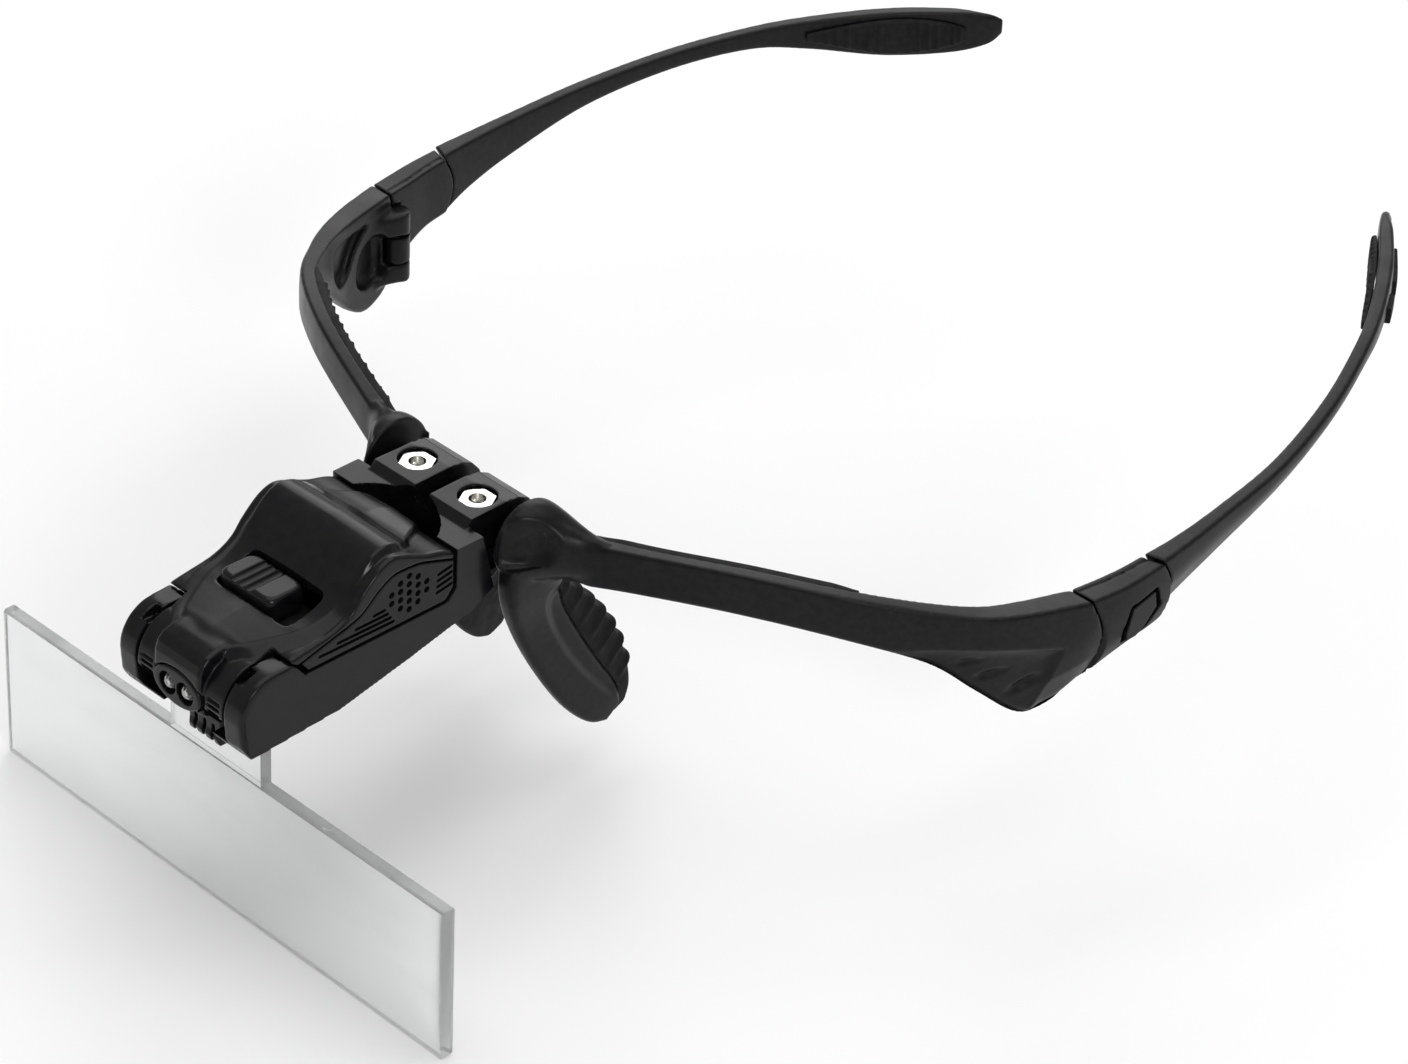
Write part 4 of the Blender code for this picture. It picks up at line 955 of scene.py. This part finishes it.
def clamp_hardware():
    bolt = screw(CLAMP_SCREW, 32.3, 44.1, 2.5, 1.2, 1.6)
    pair("clamp_bolt_@", bolt, NICKEL, "carrier", "bright_nickel", "clamp_screw_@", sharp=25)
    corner = NUT_WIDTH / math.sqrt(3)
    nut = upright(oval(CLAMP_SCREW, corner, corner, 6), 43.9, 45.7)
    chamfer = [(0, 3), (2.6, 3), (3.3, 2.28), (3.3, -0.48), (2.6, -1.2), (0, -1.2)]
    crown = turned(chamfer, (CLAMP_X, CLAMP_Y, 43.9), (0, 0, 1), 48)
    nut = carved([nut], within=[crown])
    nut = carved([nut], [peg(CLAMP_SCREW, 40, 50, SCREW_HOLE)])
    pair("clamp_hex_nut_@", nut, NICKEL, "carrier", "bright_nickel", "clamp_nut_@", sharp=20)


def lens_clip():
    """The springy U that grips the lens, stepped and ribbed on its front."""
    outline = [(-1.9, 19.4), (-2.3, 20.6), (-1.9, 21.6), (-1.9, 24.1), (4.6, 24.1), (4.6, 19.4)]
    outline += [(3.2, 19.4), (2.7, 23.1), (-0.1, 23.1), (-0.4, 19.4)]
    clip = across(outline, -3.8, 3.8)
    slots = [block((x - 0.35, -4, 18), (x + 0.35, -1.2, 22.9)) for x in (-2.1, 0.0, 2.1)]
    corner = both(upright([(2.8, -3), (4.5, -3), (4.5, -0.9)], 18, 22.4))
    clip = moulded([clip], [*slots, *corner], 0.14, 2)
    piece("lens_grip", thinned(clip, 0.5), GLOSS, "carrier", "black_plastic", "lens_clip")


# -------------------- lens


def lens():
    """A thin plate that bulges a little on both faces, with softened edges and a tab for its clip."""
    rings = []
    corner = 0.35
    steps = np.linspace(-1, 1, 15)
    for across_x in np.concatenate([[-1, -0.9985], np.linspace(-0.994, 0.994, 41), [0.9985, 1]]):
        x = across_x * LENS_HALF_WIDTH
        shrink = 0.35 if abs(across_x) == 1 else (0.1 if abs(across_x) > 0.998 else 0.0)
        bulge = LENS_BULGE * (1 - across_x * across_x)
        top = LENS_HALF_HEIGHT - shrink
        front = [(shrink - bulge * (1 - k * k), k * (top - corner)) for k in steps]
        back = [(LENS_THICK - shrink + bulge * (1 - k * k), -k * (top - corner)) for k in steps]
        outline = [*front, (corner + shrink, top), (LENS_THICK - corner - shrink, top)]
        outline += [*back, (LENS_THICK - corner - shrink, -top), (corner + shrink, -top)]
        rings.append([(x, y, z) for y, z in outline])
    plate = loft(rings)
    front_view = [(-11, 13.4), (11, 13.4), (11, 23.2), (10.3, 23.9), (4.9, 23.9), (4.2, 22.8), (-4.2, 22.8)]
    front_view += [(-4.9, 23.9), (-10.3, 23.9), (-11, 23.2)]
    tab = facing(front_view, 0.2, 2.4)
    gate = rod((26.0, 1.3, 14.3), (26.0, 1.3, 14.65), 0.8)
    plate = carved([plate, tab, gate])
    piece("lens_plate", plate, ACRYLIC, "lens", "clear_acrylic", "lens", sharp=30)


# -------------------- lamp


# Down the lamp's cover: y, lower edge, edge height, half width of the raised spine, its height.
COVER = [
    (-2.6, 36.6, 37.2, 5.0, 39.3),
    (-0.6, 37.0, 37.9, 6.3, 39.8),
    (1.4, 37.3, 38.5, 7.7, 40.0),
    (4.4, 37.7, 39.2, 9.2, 40.3),
    (8.0, 38.6, 39.7, 10.7, 40.7),
    (12.4, 39.7, 40.4, 11.6, 41.4),
    (16.0, 40.6, 42.2, 12.1, 43.2),
    (18.4, 41.6, 44.9, 12.3, 45.9),
    (21.6, 44.2, 47.7, 12.4, 49.0),
    (24.6, 45.8, 48.8, 12.4, 50.1),
    (27.6, 45.9, 48.0, 12.1, 49.4),
    (30.4, 45.6, 46.8, 10.8, 47.6),
    (32.4, 45.0, 46.0, 8.9, 46.9),
    (35.6, 43.9, 45.1, 6.9, 46.2),
    (37.5, 43.2, 44.3, 5.6, 45.4),
]


def cover_ring(row, inset=0.0, floor=None):
    """The cover's outline at one row, or its hollow if it is inset and goes down to a floor."""
    y, low, edge, spine, top = row
    half = LAMP_HALF - inset
    if floor is not None:
        low = floor
    edge, top = max(edge - inset, low + 0.25), max(top - inset, low + 0.9)
    spine = min(spine, half - 1.7)
    low_deck = 1 - float(ramp(y, 14.5, 19.0))
    right = [(half, low), (half, edge - 0.15), (half - 0.7, edge + 0.15)]
    right += [(min(spine + 0.75 + 1.9 * low_deck, half - 1.2), edge + 0.05)]
    right += [(spine, top - 0.1), (0.01, top + 0.2)]
    corners = right + [(-x, z) for x, z in right[::-1]]
    radii = [0.05, 0.5, 0.3, 0.3 + 1.6 * low_deck, 0.35, 3.0]
    return [(x, y, z) for x, z in filleted(corners, radii + radii[::-1], 3)]


def lamp_cover():
    """The lamp's upper shell: deck, nose with two light openings, hoods over the pivots, switch slot."""
    rows = spread(COVER, 6)
    top = loft([cover_ring(row) for row in rows])
    beside_ears = both(
        block((EAR_INNER, -12, 30), (20, 3.6, 50)),
        rod((EAR_INNER, 0, PIVOT_Z), (20, 0, PIVOT_Z), 8.05, steps=72),
    )
    top = carved([top], beside_ears)
    nose_side = [(-6.8, 28.6), (-7.3, 31.0), (-7.5, 34.0), (-7.4, 36.2), (-6.8, 37.8), (-5.6, 38.9)]
    nose_side += [(-3.8, 39.5), (-1.6, 39.7), (3.0, 39.2), (3.0, 30.0), (-5.8, 27.8)]
    rings = []
    middle = np.array([-2.0, 33.6])
    for x, shrink in ((-5.6, 0.8), (-5.35, 0.3), (-4.9, 0.0), (4.9, 0.0), (5.35, 0.3), (5.6, 0.8)):
        rings.append([(x, y, z) for y, z in scaled(nose_side, middle, 1 - shrink * 0.07)])
    nose = loft(rings)
    hood_side = arc((0, PIVOT_Z), 6.9, 88, 190, 24) + arc((0, PIVOT_Z), 5.85, 190, 88, 24)
    hoods = both(across(hood_side, 5.0, EAR_INNER))
    hollow = loft([cover_ring(row, 1.4, 30.0) for row in rows if 7.0 < row[0] < 36.4])
    nose_hollow = block((-4.1, -3.6, 20), (4.1, 8.0, 36.4))
    under_hoods = both(across(arc((0, PIVOT_Z), 5.95, 0, 360, 47)[:-1], 4.4, 10.5))
    slot_half = KNOB_HALF + KNOB_TRAVEL + GAP
    slot = block((-slot_half, SWITCH_Y - 4.2, 30), (slot_half, SWITCH_Y + 4.2, 50), 1.4)
    shell = carved([top, nose, *hoods], [hollow, nose_hollow, *under_hoods, slot])
    cuts = [facing(oval((0, PIVOT_Z), 6.0, 3.7, 48), -8.6, -5.7)]
    for x in (LIGHT_X, -LIGHT_X):
        cuts.append(rod((x, -9, PIVOT_Z), (x, -3, PIVOT_Z), 1.85))
    for k in range(4):
        z = 29.3 + k * 1.05
        cuts += both(block((6.5, -7.6, z), (9.6, -6.2, z + 0.5)))
    for x in (CASE_X, -CASE_X):
        cuts.append(peg((x, CASE_Y), 30, 46.4, 1.1))
    bosses = both(peg(CASE_SCREW, 42.3, 49.0, 1.9))
    cover = moulded([shell, *bosses], cuts, 0.18, 3)
    melt(cover, lambda co: near((0, -2.4, 39.6), 4.6)(co * [0.7, 1, 1]), 36)
    thinned(cover, 0.6)
    piece("lamp_shell", cover, GLOSS, "lamp", "gloss_black", "lamp_cover")


def panel_marks():
    """Cutters for the dimples and ribs sunk into the lamp's side panel."""
    marks = []
    for column, count in zip((-2, -1, 0, 1, 2), (2, 4, 5, 4, 2)):
        for i in range(count):
            y, z = 28.0 + 1.85 * column, 41.0 - 0.15 * column + 1.6 * (i - (count - 1) / 2)
            marks.append(rod((LAMP_HALF - 0.55, y, z), (LAMP_HALF + 0.3, y, z), 0.40, 0.68, 16))
    ribs = []
    for row in range(4):
        z = 39.95 - 0.98 * row
        ribs.append(((20.6 - 3.75 * row, z - 0.05 + 0.12 * row), (22.8 + 0.62 * row, z)))
    for row in range(4):
        z = 41.6 - 1.13 * row
        ribs.append(((34.2 - 0.1 * row, z), (36.9 + 0.1 * (row % 2), z + 0.45)))
    for start, end in ribs:
        turn = math.degrees(math.atan2(end[1] - start[1], end[0] - start[0]))
        outline = arc(start, 0.30, turn + 90, turn + 270, 6) + arc(end, 0.30, turn - 90, turn + 90, 6)
        marks.append(across(outline, LAMP_HALF - 0.4, LAMP_HALF + 0.3))
    return marks


def lamp_base():
    """The lamp's lower shell: marked sides, belly with the battery bay, and trunnions."""
    sides = [(5.7, 37.7), (7.1, 35.8), (35.9, 35.8), (37.5, 37.7), (37.5, 42.9)]
    rows = spread(COVER, 6)
    sides += [(row[0], row[1] - GAP) for row in rows[::-1] if 5.7 < row[0] < 37.4]
    shell = across(sides, -LAMP_HALF, LAMP_HALF)
    belly = [(10.8, 27.4), (12.8, 27.5), (15.0, 32.2), (36.0, 32.4), (36.0, 37.0), (10.8, 37.0)]
    adds = [shell, across(belly, -12.2, 12.2), block((-8.7, 3.3, 26.9), (8.7, 11.6, 36.8))]
    cavity = [(12.0, 28.7), (12.2, 28.9), (14.4, 33.6), (34.6, 33.6), (34.6, 52), (12.0, 52)]
    cuts = [across(cavity, -10.8, 10.8), block((-7.4, 6.6, 28.4), (7.4, 12.6, 52))]
    cuts.append(block((-13.3, 7.6, 37.4), (13.3, 35.9, 52)))
    shell = carved(adds, cuts)
    more = both(
        rod((5.9, 0, PIVOT_Z), (10.2, 0, PIVOT_Z), 5.6, steps=64),
        block((5.9, 0.0, 27.3), (8.7, 6.0, 36.6)),
        rod((8.0, 0, PIVOT_Z), (12.0, 0, PIVOT_Z), 2.1),
        peg(CASE_SCREW, 32.6, 42.0, 2.3),
    )
    more.append(block((-2.2, 30.5, 33.0), (2.2, 36.5, 38.5)))
    holes = [block((-7.4, 18.1, 30), (7.4, 33.9, 33.9)), peg(LID_SCREW, 30, 37.5, 1.0)]
    holes.append(block((-4.1, 2.0, 30.4), (4.1, 7.6, 36.4)))
    for x in (CASE_X, -CASE_X):
        holes += [peg((x, CASE_Y), 28, 43, 1.1), peg((x, CASE_Y), 28, 33.6, 1.75)]
    base = moulded([shell, *more], holes, 0.18, 2)
    thinned(base, 0.5)
    base = carved([base], [together(*both(*panel_marks()))])
    piece("lamp_case", base, GLOSS, "lamp", "gloss_black", "lamp_base")


def battery_lid():
    plate = block((-7.1, 18.4, 32.2), (7.1, 33.6, 33.6), 0.6)
    cuts = [peg(LID_SCREW, 30, 36, 1.0), peg(LID_SCREW, 30, 33.0, 1.9)]
    cuts += [block((-3.0, 20.0 + k * 1.1, 31), (3.0, 20.5 + k * 1.1, 32.5), 0.2) for k in range(4)]
    lid = moulded([plate], cuts, 0.15, 2)
    piece("battery_lid", thinned(lid, 0.4), GLOSS, "lamp", "gloss_black", "battery_cover")
    small = screw(LID_SCREW, 32.2, 36.8, 1.5, 0.7, 0.5)
    piece("battery_lid_screw", small, NICKEL, "lamp", "bright_nickel", "battery_cover_screw", sharp=25)
    case = screw(CASE_SCREW, 32.6, 46.0, 1.45, 0.8, 0.5)
    pair("case_bolt_@", case, NICKEL, "lamp", "bright_nickel", "case_screw_@", sharp=25)


def lights():
    """The bezel, the two clear domes and the bright cups inside them."""
    rings = []
    for grow, y in ((-0.5, -5.9), (0, -6.1), (0, -7.3), (-0.2, -7.55), (-0.55, -7.6)):
        rings.append([(x, y, z) for x, z in oval((0, PIVOT_Z), 5.7 + grow, 3.4 + grow, 64)])
    ring = loft(rings)
    wells = [rod((x, -8.0, PIVOT_Z), (x, -5.0, PIVOT_Z), 2.05, 1.75, 48) for x in (LIGHT_X, -LIGHT_X)]
    bezel = moulded([ring], wells, 0.12, 2)
    piece("light_bezel", thinned(bezel, 0.5), GLOSS, "lamp", "black_plastic", "led_bezel")
    dome = [(1.5 * math.cos(a), 3.4 + 1.5 * math.sin(a)) for a in np.linspace(1.45, 0, 12)]
    profile = [(0, 4.9), *dome, (1.5, 0.8), (1.75, 0.7), (1.75, 0), (0, 0)]
    light = turned(profile, (LIGHT_X, -2.9, PIVOT_Z), (0, -1, 0), 40)
    pair("light_@", light, DOME, "lamp", "clear_acrylic", "led_@", sharp=40)
    cup = [(0, 1.2), (0.5, 1.2), (0.95, 2.0), (1.15, 2.0), (1.15, 0.3), (0, 0.3)]
    reflector = turned(cup, (LIGHT_X, -2.9, PIVOT_Z), (0, -1, 0), 32)
    pair("light_cup_@", reflector, NICKEL, "lamp", "bright_nickel", sharp=30)


def knob():
    """The switch knob with its three flutes, and the slider below it with a skirt that fills the slot."""
    rings = []
    for z, inset in ((38.9, 0.0), (41.5, 0.0), (42.2, 0.25), (42.6, 0.7), (42.8, 1.4)):
        wide, deep = KNOB_HALF - inset / 2, KNOB_DEEP - inset / 2
        corners = ((1, 1), (-1, 1), (-1, -1), (1, -1))
        corners = [(KNOB_X + sx * wide, SWITCH_Y + sy * deep) for sx, sy in corners]
        rings.append([(x, y, z) for x, y in filleted(corners, 1.8)])
    body = loft(rings)
    cuts = []
    for k in range(3):
        x = KNOB_X - 2.4 + k * 1.75
        cuts.append(rod((x, SWITCH_Y - 9, 42.95), (x, SWITCH_Y + 9, 42.95), 0.8, steps=24))
    slider = moulded([body], cuts, 0.14, 3)
    piece("switch_button", thinned(slider, 0.45), GLOSS, "switch", "gloss_black", "switch_knob")
    stem = block((KNOB_X - 2.4, SWITCH_Y - 2.0, 35.5), (KNOB_X + 2.4, SWITCH_Y + 2.0, 38.6), 0.4)
    skirt = block((KNOB_X - 10.9, SWITCH_Y - 4.0, 37.5), (KNOB_X + 11.0, SWITCH_Y + 4.5, 37.95), 1.0)
    piece("switch_stem", carved([stem, skirt]), RUBBER, "switch", "gloss_black", "switch_slider", sharp=30)


front_frame()
for pad in brow_pad():
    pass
for pad in nose_pad():
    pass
hinge_link()
latch_button()
temple()
for pad in temple_pad():
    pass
carrier()
clamp_shoe()
clamp_hardware()
lens_clip()
lens()
lamp_cover()
lamp_base()
battery_lid()
lights()
knob()


# -------------------- pieces kept from the part


KEPT = [
    (NICKEL, ["hinge_pin_left", "hinge_pin_right", "latch_spring_left", "latch_spring_right"]),
    (NICKEL, ["battery_contact_left", "battery_contact_right"]),
    (STEEL, ["button_cell_1", "button_cell_2", "button_cell_3"]),
    (BOARD, ["lamp_board"]),
]
for look, nodes in KEPT:
    for node in nodes:
        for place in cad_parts[node].material_slots:
            place.material = look

bpy.data.collections.remove(bench)


# -------------------- floor, light and camera


def studio():
    """A pale floor, a pale room, three soft lights and the camera."""
    floor_mesh = bpy.data.meshes.new("floor")
    floor_mesh.from_pydata([(-6, -6, 0), (6, -6, 0), (6, 6, 0), (-6, 6, 0)], [], [(0, 1, 2, 3)])
    floor = bpy.data.objects.new("floor", floor_mesh)
    bpy.context.scene.collection.objects.link(floor)
    made, _, _ = new_material("pale_floor", (0.95, 0.95, 0.95), 0.9)
    floor_mesh.materials.append(made)
    world = bpy.data.worlds.new("pale_room")
    bpy.context.scene.world = world
    world.use_nodes = True
    set_inputs(world.node_tree.nodes["Background"], Color=(1, 1, 1, 1), Strength=0.50)
    # Name, place, target, side in metres, watts.
    lamps = [
        ("overhead", (0.0, 0.15, 1.4), (0, 0, 0.03), 1.5, 10.0),
        ("from_left", (0.9, -0.5, 0.6), (0.05, -0.02, 0.03), 0.25, 2.5),
        ("from_behind", (-0.75, 0.8, 0.75), (0, 0, 0.03), 0.8, 4.0),
    ]
    for name, place, target, size, power in lamps:
        data = bpy.data.lights.new(name, "AREA")
        data.shape = "SQUARE"
        data.size = size
        data.energy = power
        lamp = bpy.data.objects.new(name, data)
        lamp.location = place
        lamp.rotation_euler = (Vector(target) - Vector(place)).to_track_quat("-Z", "Y").to_euler()
        bpy.context.scene.collection.objects.link(lamp)
    # A long lens, well above the object and to the wearer's left of its front.
    data = bpy.data.cameras.new("camera")
    data.lens = 132.33
    data.sensor_width = 36
    camera = bpy.data.objects.new("camera", data)
    camera.matrix_world = Matrix(
        (
            (0.701039, -0.423615, 0.573668, 0.510895),
            (0.711975, 0.370136, -0.596734, -0.534529),
            (0.0404503, 0.826771, 0.561083, 0.522697),
            (0, 0, 0, 1),
        )
    )
    bpy.context.scene.collection.objects.link(camera)
    bpy.context.scene.camera = camera


studio()
# Keeps the pale floor white.
bpy.context.scene.view_settings.view_transform = "Standard"
